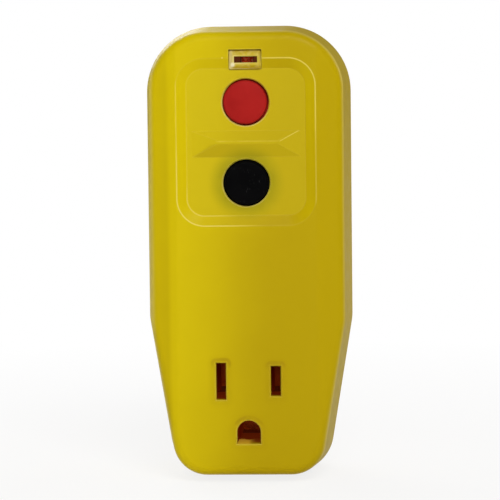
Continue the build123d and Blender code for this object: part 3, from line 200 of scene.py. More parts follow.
def fan(ring: np.ndarray, tip: int) -> np.ndarray:
    """Triangles from each edge of a ring of point numbers to one tip."""
    return np.stack([ring, np.roll(ring, -1), np.full_like(ring, tip)], -1)


def closed_grid(grid: np.ndarray) -> Surface:
    """A tube of rings of points, closed at both ends by a fan to the end ring's middle.

    Args:
        grid: Points in an array of rings, points round a ring, and coordinates.

    Returns:
        The closed surface, with its faces outwards.
    """
    rows, columns, _ = grid.shape
    points = np.concatenate([grid.reshape(-1, 3), grid[0].mean(0)[None], grid[-1].mean(0)[None]])
    first, last = np.arange(columns), np.arange(columns) + (rows - 1) * columns
    caps = [fan(first, rows * columns), fan(last[::-1], rows * columns + 1)]
    return Surface(points, [grid_quads(rows, columns), *caps]).outward()


def turned(profile: np.ndarray, sides: int = RING_SIDES) -> Surface:
    """A lathe shape: the point at height h and angle a is (h, r cos a, r sin a).

    Args:
        profile: Rows of (radius, height), from one end to the other.
        sides: Points round the shape.

    Returns:
        The closed surface, along the first local axis.
    """
    angle = np.linspace(0, 2 * np.pi, sides, endpoint=False)
    radius, height = profile[:, :1], profile[:, 1:]
    level = np.broadcast_to(height, (len(profile), sides))
    return closed_grid(np.stack([level, radius * np.cos(angle), radius * np.sin(angle)], -1))


def along(path: np.ndarray, normal: np.ndarray | Point, section: np.ndarray) -> Surface:
    """A section carried along a path: path + u normal + v (tangent x normal).

    Args:
        path: The centreline's points.
        normal: A direction across the path, one for every point or one for them all.
        section: The (u, v) points of the section's outline.

    Returns:
        The closed surface.
    """
    tangent = np.gradient(path, axis=0)
    tangent /= np.linalg.norm(tangent, axis=1, keepdims=True)
    normal = normal - (normal * tangent).sum(1, keepdims=True) * tangent
    normal = normal / np.linalg.norm(normal, axis=1, keepdims=True)
    across = np.cross(tangent, normal)
    spread = section[None, :, :1] * normal[:, None] + section[None, :, 1:] * across[:, None]
    return closed_grid(path[:, None] + spread)


def unit(vector: np.ndarray) -> np.ndarray:
    """A vector of length 1 in the same direction."""
    return vector / np.linalg.norm(vector)


def bent(corners: np.ndarray, radii: tuple[float, ...], steps: int = 10) -> np.ndarray:
    """A line through corners that are rounded by arcs.

    Each arc starts r tan(turn / 2) before its corner. Its point at angle a is its start plus
    r sin a along the way in, plus r (1 - cos a) towards the inside of the bend.

    Args:
        corners: The line's ends, and the corners between them.
        radii: The radius at each corner between the ends.
        steps: Points on one arc.

    Returns:
        The line's points.
    """
    points = [corners[:1]]
    for before, corner, after, radius in zip(corners, corners[1:], corners[2:], radii):
        way_in, way_out = unit(corner - before), unit(after - corner)
        turn = math.acos(float(way_in @ way_out))
        inwards = unit(way_out - way_in * math.cos(turn))
        start = corner - way_in * radius * math.tan(turn / 2)
        angle = np.linspace(0, turn, steps)[:, None]
        points.append(start + radius * (np.sin(angle) * way_in + (1 - np.cos(angle)) * inwards))
    return np.concatenate([*points, corners[-1:]])


def circle(radius: float, sides: int = WIRE_SIDES) -> np.ndarray:
    """Points round a circle: (r cos a, r sin a)."""
    angle = np.linspace(0, 2 * np.pi, sides, endpoint=False)
    return radius * np.stack([np.cos(angle), np.sin(angle)], -1)


def rounded_rectangle(width: float, height: float, radius: float, steps: int = 6) -> np.ndarray:
    """Points round a rectangle: each corner's centre plus (r cos a, r sin a) over its quarter.

    Args:
        width: The rectangle's first size.
        height: Its second size.
        radius: Its corners' radius.
        steps: Points on one corner.

    Returns:
        The outline's points.
    """
    angle = np.linspace(0, np.pi / 2, steps)[None] + np.arange(4)[:, None] * np.pi / 2
    signs = np.array([(1, 1), (-1, 1), (-1, -1), (1, -1)])
    middles = signs * (np.array([width, height]) / 2 - radius)
    return (middles[:, None] + radius * np.stack([np.cos(angle), np.sin(angle)], -1)).reshape(-1, 2)


def quarter(centre: Pair, radius: float, start: float, steps: int = 8) -> np.ndarray:
    """A quarter circle of a profile: centre plus (r cos a, r sin a), with a falling from start."""
    angle = np.radians(np.linspace(start, start - 90, steps))
    return np.array(centre) + radius * np.stack([np.cos(angle), np.sin(angle)], -1)


def smooth_step(share: np.ndarray) -> np.ndarray:
    """The curve 3 s^2 - 2 s^3 of a share kept between 0 and 1."""
    share = np.clip(share, 0, 1)
    return share * share * (3 - 2 * share)


def make_piece(name: str, *surfaces: Surface) -> bpy.types.Object:
    """Joins surfaces into one smooth-shaded object at the origin.

    Args:
        name: The piece's name.
        surfaces: What the piece is made of.

    Returns:
        The new object, linked to the scene.
    """
    offsets = np.cumsum([0] + [len(surface.points) for surface in surfaces])
    faces = [face for surface, offset in zip(surfaces, offsets)
             for block in surface.faces for face in (block + offset).tolist()]
    mesh = bpy.data.meshes.new(name)
    mesh.from_pydata(np.concatenate([surface.points for surface in surfaces]).tolist(), [], faces)
    mesh.shade_smooth()
    mesh.set_sharp_from_angle(angle=SHARP_ANGLE)
    piece = bpy.data.objects.new(name, mesh)
    bpy.context.scene.collection.objects.link(piece)
    return piece


@dataclass(frozen=True)
class Extent:
    """The box of a node of the frame at rest."""

    low: np.ndarray
    high: np.ndarray

    @classmethod
    def of(cls, node: str) -> "Extent":
        """Reads a node's box from the frame."""
        low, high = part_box(node)
        return cls(np.array(low), np.array(high))

    @property
    def middle(self) -> np.ndarray:
        """The box's centre."""
        return (self.low + self.high) / 2

    @property
    def size(self) -> np.ndarray:
        """The box's three lengths."""
        return self.high - self.low

    @property
    def back(self) -> np.ndarray:
        """The middle of the box's back."""
        return np.array((self.middle[0], self.high[1], self.middle[2]))

    @property
    def foot(self) -> np.ndarray:
        """The middle of the box's lower side."""
        return np.array((self.middle[0], self.middle[1], self.low[2]))


# Finishes


class ShaderTree:
    """Short calls that add nodes to a tree of shader nodes and join them."""

    def __init__(self, tree: bpy.types.NodeTree) -> None:
        """Starts with an empty tree."""
        self.tree = tree
        tree.nodes.clear()

    def node(self, kind: str, settings: dict | None = None, **inputs: object) -> bpy.types.Node:
        """Adds a node.

        Args:
            kind: The node's type.
            settings: What to set on the node itself.
            inputs: What to feed its inputs by name, with _ for a space.

        Returns:
            The new node.
        """
        made = self.tree.nodes.new(kind)
        for key, value in (settings or {}).items():
            setattr(made, key, value)
        for key, value in inputs.items():
            self.feed(made.inputs[key.replace("_", " ")], value)
        return made

    def feed(self, socket: Socket, value: object) -> None:
        """Links a socket, or sets its value.

        Args:
            socket: The input.
            value: Another node's output, or a number, vector or colour.
        """
        if isinstance(value, Socket):
            self.tree.links.new(value, socket)
        else:
            socket.default_value = value

    def math(self, operation: str, *values: Value) -> Socket:
        """One arithmetic step.

        Args:
            operation: The Math node's operation.
            values: What it works on.

        Returns:
            The result.
        """
        made = self.node("ShaderNodeMath", {"operation": operation})
        for socket, value in zip(made.inputs, values):
            self.feed(socket, value)
        return made.outputs[0]

    def fold(self, operation: str, values: tuple[Value, ...]) -> Value:
        """The same step again and again: the first two values, then the result and the next one.

        Args:
            operation: The Math node's operation.
            values: What it works on, in order.

        Returns:
            The last result.
        """
        result = values[0]
        for value in values[1:]:
            result = self.math(operation, result, value)
        return result

    def product(self, *values: Value) -> Value:
        """The product of some values."""
        return self.fold("MULTIPLY", values)

    def total(self, *values: Value) -> Value:
        """The sum of some values."""
        return self.fold("ADD", values)

    def largest(self, *values: Value) -> Value:
        """The largest of some values."""
        return self.fold("MAXIMUM", values)

    def minus(self, value: Value, less: Value) -> Socket:
        """The difference of two values."""
        return self.math("SUBTRACT", value, less)

    def ramp(self, value: Value, start: float, end: float, low: float = 0.0, high: float = 1.0,
             curve: str = "SMOOTHSTEP") -> Socket:
        """A change between two numbers, level past both ends.

        Args:
            value: What it follows.
            start: The value at which the change starts.
            end: The value at which it ends, which may be below start.
            low: The result at start.
            high: The result at end.
            curve: The Map Range node's kind of change.

        Returns:
            The changing number.
        """
        made = self.node("ShaderNodeMapRange", {"interpolation_type": curve})
        for socket, number in zip(made.inputs, (value, start, end, low, high)):
            self.feed(socket, number)
        return made.outputs[0]

    def mix_shaders(self, share: Value, first: Socket, second: Socket) -> Socket:
        """A mix of two shaders.

        Args:
            share: How much of the second there is.
            first: The shader at a share of 0.
            second: The shader at a share of 1.

        Returns:
            The mixed shader.
        """
        made = self.node("ShaderNodeMixShader")
        for socket, value in zip(made.inputs, (share, first, second)):
            self.feed(socket, value)
        return made.outputs[0]


class Graph(ShaderTree):
    """One material's nodes round a Principled shader, with places in object coordinates."""

    def __init__(self, name: str) -> None:
        """Starts a material with a shader and an output.

        Args:
            name: The material's name.
        """
        self.material = bpy.data.materials.new(name)
        self.material.use_nodes = True
        super().__init__(self.material.node_tree)
        self.shader = self.node("ShaderNodeBsdfPrincipled")
        self.node("ShaderNodeOutputMaterial", Surface=self.shader.outputs["BSDF"])
        self.place = self.node("ShaderNodeTexCoord").outputs["Object"]
        self.x, self.y, self.z = self.node("ShaderNodeSeparateXYZ", Vector=self.place).outputs

    def shade(self, **inputs: object) -> None:
        """Feeds the shader's own sockets by name."""
        for key, value in inputs.items():
            self.feed(self.shader.inputs[key.replace("_", " ")], value)

    def mix(self, share: Value, first: Socket | Colour, second: Socket | Colour) -> Socket:
        """A colour between two others.

        Args:
            share: How much of the second colour there is.
            first: The colour at a share of 0.
            second: The colour at a share of 1.

        Returns:
            The mixed colour.
        """
        made = self.node("ShaderNodeMix", {"data_type": "RGBA"})
        for index, value in zip((0, 6, 7), (share, first, second)):
            self.feed(made.inputs[index], value)
        return made.outputs[2]

    def noise(self, size: float, detail: float = 2.0, stretch: Point = (1, 1, 1)) -> Socket:
        """Noise over the piece.

        Args:
            size: Roughly how far across its features are.
            detail: How many finer layers it has.
            stretch: How many times longer the features are along each axis.

        Returns:
            The noise, mostly between 0.3 and 0.7.
        """
        scale = [1 / (size * share) for share in stretch]
        moved = self.node("ShaderNodeMapping", Vector=self.place, Scale=scale)
        made = self.node("ShaderNodeTexNoise", Vector=moved.outputs[0], Scale=1.0, Detail=detail)
        return made.outputs["Fac"]

    def cloud(self, size: float, low: float, high: float, detail: float = 2.0,
              reach: Pair = CLOUD) -> Socket:
        """Soft clouds: low between them and high in them, where the noise is past its reach."""
        return self.ramp(self.noise(size, detail), *reach, low, high)

    def depth(self) -> Socket:
        """How far a point is in front of the wall face."""
        return self.product(self.y, -1.0)

    def distance(self, x: float, z: float) -> Socket:
        """The distance in x and z from an axis that runs front to back.

        Args:
            x: The axis's place to the right.
            z: The axis's height.

        Returns:
            The distance.
        """
        across = self.math("POWER", self.minus(self.x, x), 2.0)
        upright = self.math("POWER", self.minus(self.z, z), 2.0)
        return self.math("SQRT", self.total(across, upright))

    def outside(self, x: float, z: float, half_width: float, half_height: float,
                corner: float = 0.0) -> Socket:
        """How far a point is outside a rounded rectangle in x and z, and less than 0 inside.

        With the corners' radius r taken off both half sizes first, it is the length of the
        distances' parts above 0, plus the larger distance where that is below 0, minus r.

        Args:
            x: The middle's place to the right.
            z: The middle's height.
            half_width: Half the size in x.
            half_height: Half the size in z.
            corner: The corners' radius.

        Returns:
            The distance.
        """
        middle, half = (x, z), (half_width - corner, half_height - corner)
        apart = [self.minus(self.math("ABSOLUTE", self.minus(axis, place)), size)
                 for axis, place, size in zip((self.x, self.z), middle, half)]
        squares = [self.math("POWER", self.largest(value, 0.0), 2.0) for value in apart]
        beyond = self.math("SQRT", self.total(*squares))
        within = self.math("MINIMUM", self.largest(*apart), 0.0)
        return self.minus(self.total(beyond, within), corner)

    def line(self, distance: Value, middle: float, half: float, soft: float) -> Socket:
        """1 within half of a middle distance, falling to 0 over a soft edge on each side."""
        away = self.math("ABSOLUTE", self.minus(distance, middle))
        return self.ramp(away, half + soft, half)

    def stroke(self, start: Pair, end: Pair, half: float, soft: float) -> Socket:
        """A straight line in x and z: near its axis, and between its two ends.

        With u the direction from start to end, a point p is at (p - start) . u along the line
        and at the length of (p - start) x u away from it.

        Args:
            start: One end, in x and z.
            end: The other end.
            half: Half the line's width.
            soft: The width of its soft edges.

        Returns:
            1 in the line, falling to 0 beside it.
        """
        run = np.subtract(end, start)
        length = float(np.hypot(*run))
        across, upright = (float(share) for share in run / length)
        apart = [self.minus(axis, place) for axis, place in zip((self.x, self.z), start)]
        forwards = self.total(self.product(apart[0], across), self.product(apart[1], upright))
        away = self.minus(self.product(apart[0], upright), self.product(apart[1], across))
        middle = length / 2
        return self.product(self.line(away, 0.0, half, soft), self.line(forwards, middle, middle, soft))

    def facing(self) -> Socket:
        """How much the surface faces the front: 1 on the front, 0 on the sides."""
        normal = self.node("ShaderNodeNewGeometry").outputs["Normal"]
        return self.product(self.node("ShaderNodeSeparateXYZ", Vector=normal).outputs["Y"], -1.0)

    def edges(self, width: float) -> Socket:
        """The edges of a piece, from how far a rounded normal leans from the real one.

        Args:
            width: How far the edges reach.

        Returns:
            1 on the edges, 0 away from them.
        """
        rounded = self.node("ShaderNodeBevel", {"samples": 4}, Radius=width)
        real = self.node("ShaderNodeNewGeometry").outputs["Normal"]
        agree = self.node("ShaderNodeVectorMath", {"operation": "DOT_PRODUCT"})
        self.feed(agree.inputs[0], rounded.outputs[0])
        self.feed(agree.inputs[1], real)
        return self.ramp(agree.outputs["Value"], *EDGE_LEAN)

    def bump(self, height: Value, distance: float, under: Socket | None = None) -> Socket:
        """A bumped normal.

        Args:
            height: The height, between 0 and 1.
            distance: How deep a height of 1 is.
            under: Another normal that it goes over, if there is one.

        Returns:
            The normal.
        """
        made = self.node("ShaderNodeBump", Height=height, Distance=distance, Strength=1.0)
        if under is not None:
            self.feed(made.inputs["Normal"], under)
        return made.outputs[0]


@dataclass(frozen=True)
class Finish(ABC):
    """A surface finish, named after the material slot that it stands for."""

    slot: str
    version: str = field(default="", kw_only=True)

    def material(self) -> bpy.types.Material:
        """The finish's material, made once.

        Returns:
            The material.
        """
        name = f"finish_{self.slot}{self.version}"
        made = bpy.data.materials.get(name)
        if made is None:
            graph = Graph(name)
            self.paint(graph)
            made = graph.material
        return made

    @abstractmethod
    def paint(self, graph: Graph) -> None:
        """Builds the finish's nodes."""


@dataclass(frozen=True)
class MouldedPlastic(Finish):
    """Plain moulded plastic: a slightly mottled colour, a fine grain and rubbed edges."""

    colour: Colour
    shade: Colour
    worn_and_highlight: Colour
    roughness: float = 0.42
    specular: float = 0.4
    grain: float = 0.35 * MM
    grain_depth: float = 0.006 * MM
    mottle: float = 6 * MM
    edge_width: float = 0.3 * MM
    edge_share: float = 0.5
    scuff_width: float = 0.14 * MM
    scuff_reach: Pair = (0.64, 0.74)
    scuff_patch: float = 2.4 * MM
    patch_reach: Pair = (0.5, 0.68)
    scuffs: float = 0.0

    def paint(self, graph: Graph) -> None:
        """Mottle, rubbed edges and short scuffs in the colour, and a fine bumped grain.

        Args:
            graph: The material's nodes.
        """
        colour = graph.mix(graph.cloud(self.mottle, 0.0, 1.0, 4.0), self.colour, self.shade)
        strokes = graph.ramp(graph.noise(self.scuff_width, 1.0, (1, 1, 7)), *self.scuff_reach)
        patches = graph.cloud(self.scuff_patch, 0.0, self.scuffs, reach=self.patch_reach)
        edges = graph.product(graph.edges(self.edge_width), self.edge_share)
        wear_and_highlight = graph.largest(edges, graph.product(strokes, patches))
        graph.shade(
            Base_Color=graph.mix(wear_and_highlight, colour, self.worn_and_highlight),
            Roughness=graph.cloud(1.5 * MM, self.roughness - 0.05, self.roughness + 0.07),
            Specular_IOR_Level=self.specular,
            Normal=graph.bump(graph.noise(self.grain, 3.0), self.grain_depth),
        )


@dataclass(frozen=True)
class CasePlastic(Finish):
    """The case's yellow plastic, with painted light and shade, and what handling and moulding did to it in
    places.
    """

    # Colours
    # The two ends of a painted light gradient
    face: Colour = srgb(216, 193, 2)
    far: Colour = srgb(188, 162, 0)
    # Pale edges and painted highlight lines
    worn_and_highlight: Colour = srgb(232, 214, 92)
    # Painted shade round the test button
    ring_shade: Colour = srgb(160, 150, 18)
    # Sink marks and painted shade round the openings
    halo: Colour = srgb(172, 143, 6)
    # Painted shade inside the openings
    inside: Colour = srgb(96, 32, 6)
    lit: Colour = srgb(184, 133, 46)
    # A painted reflection on the front's rounded edge
    rounded: Colour = srgb(222, 204, 104)
    floor_tint: Colour = srgb(205, 185, 30)
    # A painted highlight on the buttons' hole chamfers
    ring_highlight: Colour = srgb(228, 206, 112)
    # Places on the case
    face_depth: float = 34 * MM
    floor_depth: float = 32.8 * MM
    front_from: Pair = (31.6 * MM, 31.9 * MM)
    outline: tuple[float, ...] = (0.0, 29 * MM, 19 * MM, 49 * MM, 16 * MM)
    outline_band: Pair = (-3 * MM, -1 * MM)
    edge_depth: Pair = (31.0 * MM, 31.8 * MM)
    left_edge_x: Pair = (-21 * MM, -22.5 * MM)
    reset_z: float = 64.6 * MM
    test_z: float = 46 * MM
    hole: float = 5.4 * MM
    slot_x: float = 6.35 * MM
    slot_halves: Point = (1.15 * MM, 3.5 * MM, 4.3 * MM)
    ground_z: float = -11.89 * MM
    ground_half: float = 2.75 * MM
    outlet: tuple[float, ...] = (0.0, -5 * MM, 11 * MM, 12 * MM)
    window: tuple[float, ...] = (0.0, 74.4 * MM, 3.1 * MM, 1.6 * MM)
    panel_z: float = 55.4 * MM
    panel_half: Pair = (16.2 * MM, 19.4 * MM)
    panel_corner: float = 6.5 * MM
    panel_side_x: Pair = (15.8 * MM, 16.1 * MM)
    slope: float = 2.5 * MM
    crest_z: float = 55.6 * MM
    crest_half: float = 7.1 * MM
    # The large painted light and shade
    lean_across: float = 36.0
    lean_up: float = -2.5
    lean_start: float = 0.6
    lean_cloud: float = 0.3
    cheek_x: Pair = (-17 * MM, -18.8 * MM)
    cheek_share: float = 0.48
    under_drop: float = 2.1 * MM
    under_half: float = 1.1 * MM
    under_narrowing: float = 1.5
    right_x: Pair = (8 * MM, 15.5 * MM)
    right_share: float = -0.58
    floor_share: float = 0.4
    # The marks: painted highlights, painted shade and sink marks
    soft: float = 0.2 * MM
    ring_shade_reach: float = 9.5 * MM
    ring_shade_shares: Pair = (0.6, 0.82)
    halo_reach: float = 2.4 * MM
    halo_share: float = 0.25
    band_shares: Pair = (0.16, 0.8)
    slot_band_z: Pair = (2.5 * MM, 4.4 * MM)
    ground_band_z: Pair = (-11.5 * MM, -9 * MM)
    ground_band_end: Pair = (-6.2 * MM, -7 * MM)
    mouth: float = 0.18 * MM
    # Painted highlights on the ridge's hip and a speck on the panel's top edge
    hip: tuple[Pair, Pair] = ((7.9 * MM, 55.6 * MM), (12.1 * MM, 57.9 * MM))
    highlight_speck: Pair = (-5.25 * MM, 74.8 * MM)
    ring_shares: Pair = (0.85, 0.45)
    ring_lean: Pair = (3.2 * MM, -4.5 * MM)
    edge_width: float = 0.35 * MM
    edge_shares: Pair = (0.12, 0.4)
    # The openings' insides: painted shade and painted glow
    ledge_z: float = -14.59 * MM
    ledge_x: Pair = (1.4 * MM, -0.4 * MM)
    ledge_reach: Pair = (21.6 * MM, 22.4 * MM)
    ledge_ragged: float = 7 * MM
    ledge_light: float = 0.42
    well_from: Pair = (33.6 * MM, 29.5 * MM)
    well_back: Pair = (15 * MM, 16 * MM)
    window_from: Pair = (32.6 * MM, 31.6 * MM)
    well_light: float = 0.5
    # The plastic's surface
    satin: Pair = (0.38, 0.46)
    floor_dullness: float = 0.16
    specular: float = 0.08
    grain_depth: float = 0.004 * MM
    wave_depth: float = 0.02 * MM

    def paint(self, graph: Graph) -> None:
        """Large painted light and shade first, then the marks near the buttons and openings, then the
        grain.

        Args:
            graph: The material's nodes.
        """
        depth = graph.depth()
        front = graph.ramp(depth, *self.front_from)
        border = graph.outside(0.0, self.panel_z, *self.panel_half, self.panel_corner)
        foot = -self.slope
        floor = graph.product(graph.ramp(border, foot + self.soft, foot - self.soft), front)
        nearest = self.opening_distance(graph)
        ledge = self.ledge(graph, depth)
        well = self.well(graph, depth, ledge)
        floor_share = graph.product(floor, self.floor_share)
        colour = graph.mix(floor_share, self.painted_light_tint(graph, border, front), self.floor_tint)
        # Painted shade round the test button
        colour = graph.mix(graph.product(self.shade_ring(graph), front), colour, self.ring_shade)
        # Sink marks and painted shade round the openings
        colour = graph.mix(graph.product(self.sink_marks_and_shade(graph, nearest), front), colour, self.halo)
        # A painted reflection on the front's rounded edge
        colour = graph.mix(self.edge_reflection(graph, depth), colour, self.rounded)
        # Painted highlight lines
        colour = graph.mix(self.highlight_lines(graph, depth, border, nearest), colour, self.worn_and_highlight)
        # A painted highlight on the hole chamfers
        colour = graph.mix(self.hole_ring_highlights(graph, depth), colour, self.ring_highlight)
        # Painted shade inside the openings
        colour = graph.mix(well, colour, self.inside)
        near_share = graph.ramp(nearest, 0.2 * MM, 0.8 * MM, *self.edge_shares)
        # Pale edges: edge wear and painted highlight
        wear_and_highlight = graph.product(graph.edges(self.edge_width), near_share)
        grain = graph.bump(graph.noise(0.45 * MM, 4.0), self.grain_depth)
        dull = graph.product(floor, self.floor_dullness)
        # A painted glow in the openings and painted light on the ledge
        light = graph.largest(graph.product(well, self.well_light), graph.product(ledge, self.ledge_light))
        graph.shade(
            Base_Color=graph.mix(wear_and_highlight, colour, self.worn_and_highlight),
            Roughness=graph.total(graph.cloud(2.2 * MM, *self.satin, 3.0), dull),
            Specular_IOR_Level=self.specular,
            Normal=graph.bump(graph.noise(7 * MM), self.wave_depth, grain),
            Emission_Color=graph.mix(ledge, THROUGH_CASE, self.lit),
            Emission_Strength=light,
        )

    def painted_light_tint(self, graph: Graph, border: Socket, front: Socket) -> Socket:
        """The plastic's colour with painted light and shade: paler at the upper left, deeper at the lower
        right.

        On the front it is also deeper on the left cheek and under the ridge, as painted shade, and paler
        on the panel's right slope, as painted light.

        Args:
            graph: The material's nodes.
            border: The distance outside the panel's rim.
            front: 1 on the front, 0 behind it.

        Returns:
            The colour.
        """
        # Painted light and shade: paler towards the upper left, deeper towards the lower right, with a
        # random cloud
        across = graph.product(graph.x, self.lean_across)
        upwards = graph.product(graph.z, self.lean_up)
        cloud = graph.product(graph.noise(18 * MM, 3.0), self.lean_cloud)
        lean = graph.total(graph.total(across, upwards), graph.total(cloud, self.lean_start))
        # Painted shade on the left cheek and under the ridge, painted light on the panel's right slope
        cheek = graph.ramp(graph.x, *self.cheek_x, 0.0, self.cheek_share)
        narrower = graph.product(graph.minus(graph.z, self.crest_z), self.under_narrowing)
        between = graph.total(graph.math("ABSOLUTE", graph.x), narrower)
        under = graph.product(
            graph.line(graph.z, self.crest_z - self.under_drop, self.under_half, 0.7 * MM),
            graph.ramp(between, self.crest_half + 0.6 * MM, self.crest_half - 1.6 * MM))
        right = graph.product(
            graph.line(border, -0.5 * self.slope, 0.4 * self.slope, 0.3 * MM),
            graph.ramp(graph.x, *self.right_x), self.right_share)
        for share in (cheek, under, right):
            lean = graph.total(lean, graph.product(share, front))
        return graph.mix(graph.ramp(lean, 0.0, 1.0), self.face, self.far)

    def shade_ring(self, graph: Graph) -> Socket:
        """The soft dark ring of painted shade round the test button."""
        ring = graph.ramp(graph.distance(0.0, self.test_z), self.ring_shade_reach, self.hole)
        return graph.product(ring, graph.cloud(4 * MM, *self.ring_shade_shares, 3.0, (0.25, 0.65)))

    def opening_distance(self, graph: Graph) -> Socket:
        """How far a point is from the nearest of the outlet's three openings.

        Args:
            graph: The material's nodes.

        Returns:
            The distance, less than 0 inside an opening.
        """
        width, right, left = self.slot_halves
        sides = [graph.outside(self.slot_x, 0.0, width, right),
                 graph.outside(-self.slot_x, 0.0, width, left)]
        round_top = graph.minus(graph.distance(0.0, self.ground_z), self.ground_half)
        lower = 0.5 * self.ground_half
        square = graph.outside(0.0, self.ground_z - lower, self.ground_half, lower)
        ground = graph.math("MINIMUM", round_top, square)
        return graph.math("MINIMUM", graph.math("MINIMUM", *sides), ground)

    def edge_reflection(self, graph: Graph, depth: Socket) -> Socket:
        """A painted reflection on the rounded edge round the front: paler where it turns away, most on the
        left.

        Args:
            graph: The material's nodes.
            depth: The distance in front of the wall face.

        Returns:
            The pale colour's share.
        """
        facing = graph.facing()
        left = graph.ramp(graph.x, *self.left_edge_x)
        outer = graph.product(graph.ramp(facing, 0.75, 0.25), 0.5)
        wide = graph.product(graph.ramp(facing, 0.995, 0.7), left, 0.6)
        level = graph.product(graph.ramp(depth, *self.edge_depth), graph.ramp(facing, 0.06, 0.12))
        case_edge = graph.ramp(graph.outside(*self.outline), *self.outline_band)
        return graph.product(graph.largest(outer, wide), level, case_edge)

    def sink_marks_and_shade(self, graph: Graph, nearest: Socket) -> Socket:
        """Deeper round the openings from sink marks and painted shade, with a soft painted shadow band
        above each.

        Args:
            graph: The material's nodes.
            nearest: The distance from the nearest opening.

        Returns:
            The deeper colour's share.
        """
        least, most = self.band_shares
        # Deeper round every opening: sink marks and painted shade
        wide = graph.ramp(nearest, self.halo_reach, self.soft, 0.0, self.halo_share)
        outline = graph.line(nearest, 0.8 * MM, 0.1 * MM, 0.6 * MM)
        # A soft band of painted shadow above the openings
        above_slots = graph.ramp(graph.z, *self.slot_band_z, least, most)
        above_ground = graph.product(graph.ramp(graph.z, *self.ground_band_z, 0.0, most),
                                     graph.ramp(graph.z, *self.ground_band_end))
        uneven = graph.cloud(3 * MM, 0.6, 1.0, reach=(0.3, 0.6))
        band = graph.product(outline, graph.largest(above_slots, above_ground), uneven)
        return graph.largest(wide, band)

    def highlight_lines(self, graph: Graph, depth: Socket, border: Socket, nearest: Socket) -> Socket:
        """Thin pale lines of painted highlight: the panel's rim and foot, the ridge and the mouths.

        The panel's lines are strongest at its upper right and lower left corners.

        Args:
            graph: The material's nodes.
            depth: The distance in front of the wall face.
            border: The distance outside the panel's rim.
            nearest: The distance from the nearest opening.

        Returns:
            The pale colour's share.
        """
        upper = graph.minus(graph.z, self.panel_z)
        diagonal = graph.product(graph.x, upper)
        uneven = graph.ramp(diagonal, -110 * MM * MM, 150 * MM * MM, 0.08, 0.9)
        sides = graph.ramp(graph.math("ABSOLUTE", graph.x), *self.panel_side_x, 0.0, 0.42)
        top = graph.ramp(depth, self.face_depth - 0.7 * MM, self.face_depth - 0.4 * MM)
        rim = graph.product(graph.line(border, -0.12 * MM, 0.08 * MM, 0.12 * MM),
                            graph.largest(uneven, sides), top)
        corner = graph.product(graph.ramp(graph.x, 0.0, -9 * MM, 0.1, 1.0),
                               graph.ramp(upper, -8 * MM, -14 * MM, 0.2, 1.0))
        foot = graph.product(graph.line(border, 0.1 * MM - self.slope, 0.06 * MM, 0.15 * MM), corner, 0.6)
        leaning = graph.total(graph.product(graph.z, 0.2), graph.product(graph.x, 0.1))
        low_left = graph.ramp(leaning, 0.9 * MM, -1.4 * MM, 0.1, 0.3)
        half = 0.5 * self.mouth
        mouths = graph.product(graph.line(nearest, half, half, 0.08 * MM), top, low_left)
        crest = graph.product(
            graph.line(graph.z, self.crest_z, 0.04 * MM, 0.16 * MM),
            graph.line(graph.x, 0.4 * MM, self.crest_half, 0.5 * MM),
            graph.cloud(3.5 * MM, 0.05, 0.34), top)
        hip = graph.product(graph.stroke(*self.hip, 0.03 * MM, 0.14 * MM), 0.6)
        highlight_speck = graph.ramp(graph.distance(*self.highlight_speck), 0.26 * MM, 0.12 * MM)
        lines = graph.largest(rim, foot, mouths, crest, hip, highlight_speck)
        return graph.product(lines, graph.ramp(depth, *self.front_from))

    def hole_ring_highlights(self, graph: Graph, depth: Socket) -> Socket:
        """A painted highlight on the chamfer round both buttons' holes, palest at its lower left.

        Args:
            graph: The material's nodes.
            depth: The distance in front of the wall face.

        Returns:
            The pale colour's share.
        """
        rings = []
        for z, most in zip((self.reset_z, self.test_z), self.ring_shares):
            ring = graph.line(graph.distance(0.0, z), self.hole + 0.1 * MM, 0.12 * MM, 0.1 * MM)
            lean = graph.total(graph.minus(graph.z, z), graph.product(graph.x, 0.6))
            rings.append(graph.product(ring, graph.ramp(lean, *self.ring_lean, 0.08, most)))
        level = graph.ramp(depth, self.floor_depth - 0.35 * MM, self.floor_depth - 0.25 * MM)
        return graph.product(graph.largest(*rings), level)

    def ledge(self, graph: Graph, depth: Socket) -> Socket:
        """The lit floor just inside the ground hole, brightest on its left, with a ragged end.

        Args:
            graph: The material's nodes.
            depth: The distance in front of the wall face.

        Returns:
            The light's share.
        """
        low = graph.line(graph.z, self.ledge_z, 0.04 * MM, 0.1 * MM)
        width = graph.ramp(graph.math("ABSOLUTE", graph.x), self.ground_half, self.ground_half - 0.1 * MM)
        noise = graph.noise(1.3 * MM, 4.0, (1, 9, 1))
        ragged = graph.total(depth, graph.product(noise, -self.ledge_ragged))
        reach = graph.ramp(ragged, *self.ledge_reach)
        inside = graph.ramp(depth, self.face_depth - 0.05 * MM, self.face_depth - 0.4 * MM)
        left = graph.ramp(graph.x, *self.ledge_x, 0.06, 1.0)
        return graph.product(low, width, reach, inside, left)

    def well(self, graph: Graph, depth: Socket, ledge: Socket) -> Socket:
        """Painted shade inside the outlet's sleeves and behind the window, lit by a painted glow through
        the plastic.

        Args:
            graph: The material's nodes.
            depth: The distance in front of the wall face.
            ledge: The lit ledge's share.

        Returns:
            1 well inside, 0 on the rest of the case.
        """
        beside = graph.ramp(graph.outside(*self.outlet), self.soft, -self.soft)
        unlit = graph.minus(1.0, graph.product(ledge, 0.7))
        sleeves = graph.product(beside, graph.ramp(depth, *self.well_from), unlit)
        behind = graph.product(graph.ramp(graph.outside(*self.window), self.soft, -self.soft),
                               graph.ramp(depth, *self.window_from))
        return graph.product(graph.largest(sleeves, behind), graph.ramp(depth, *self.well_back))


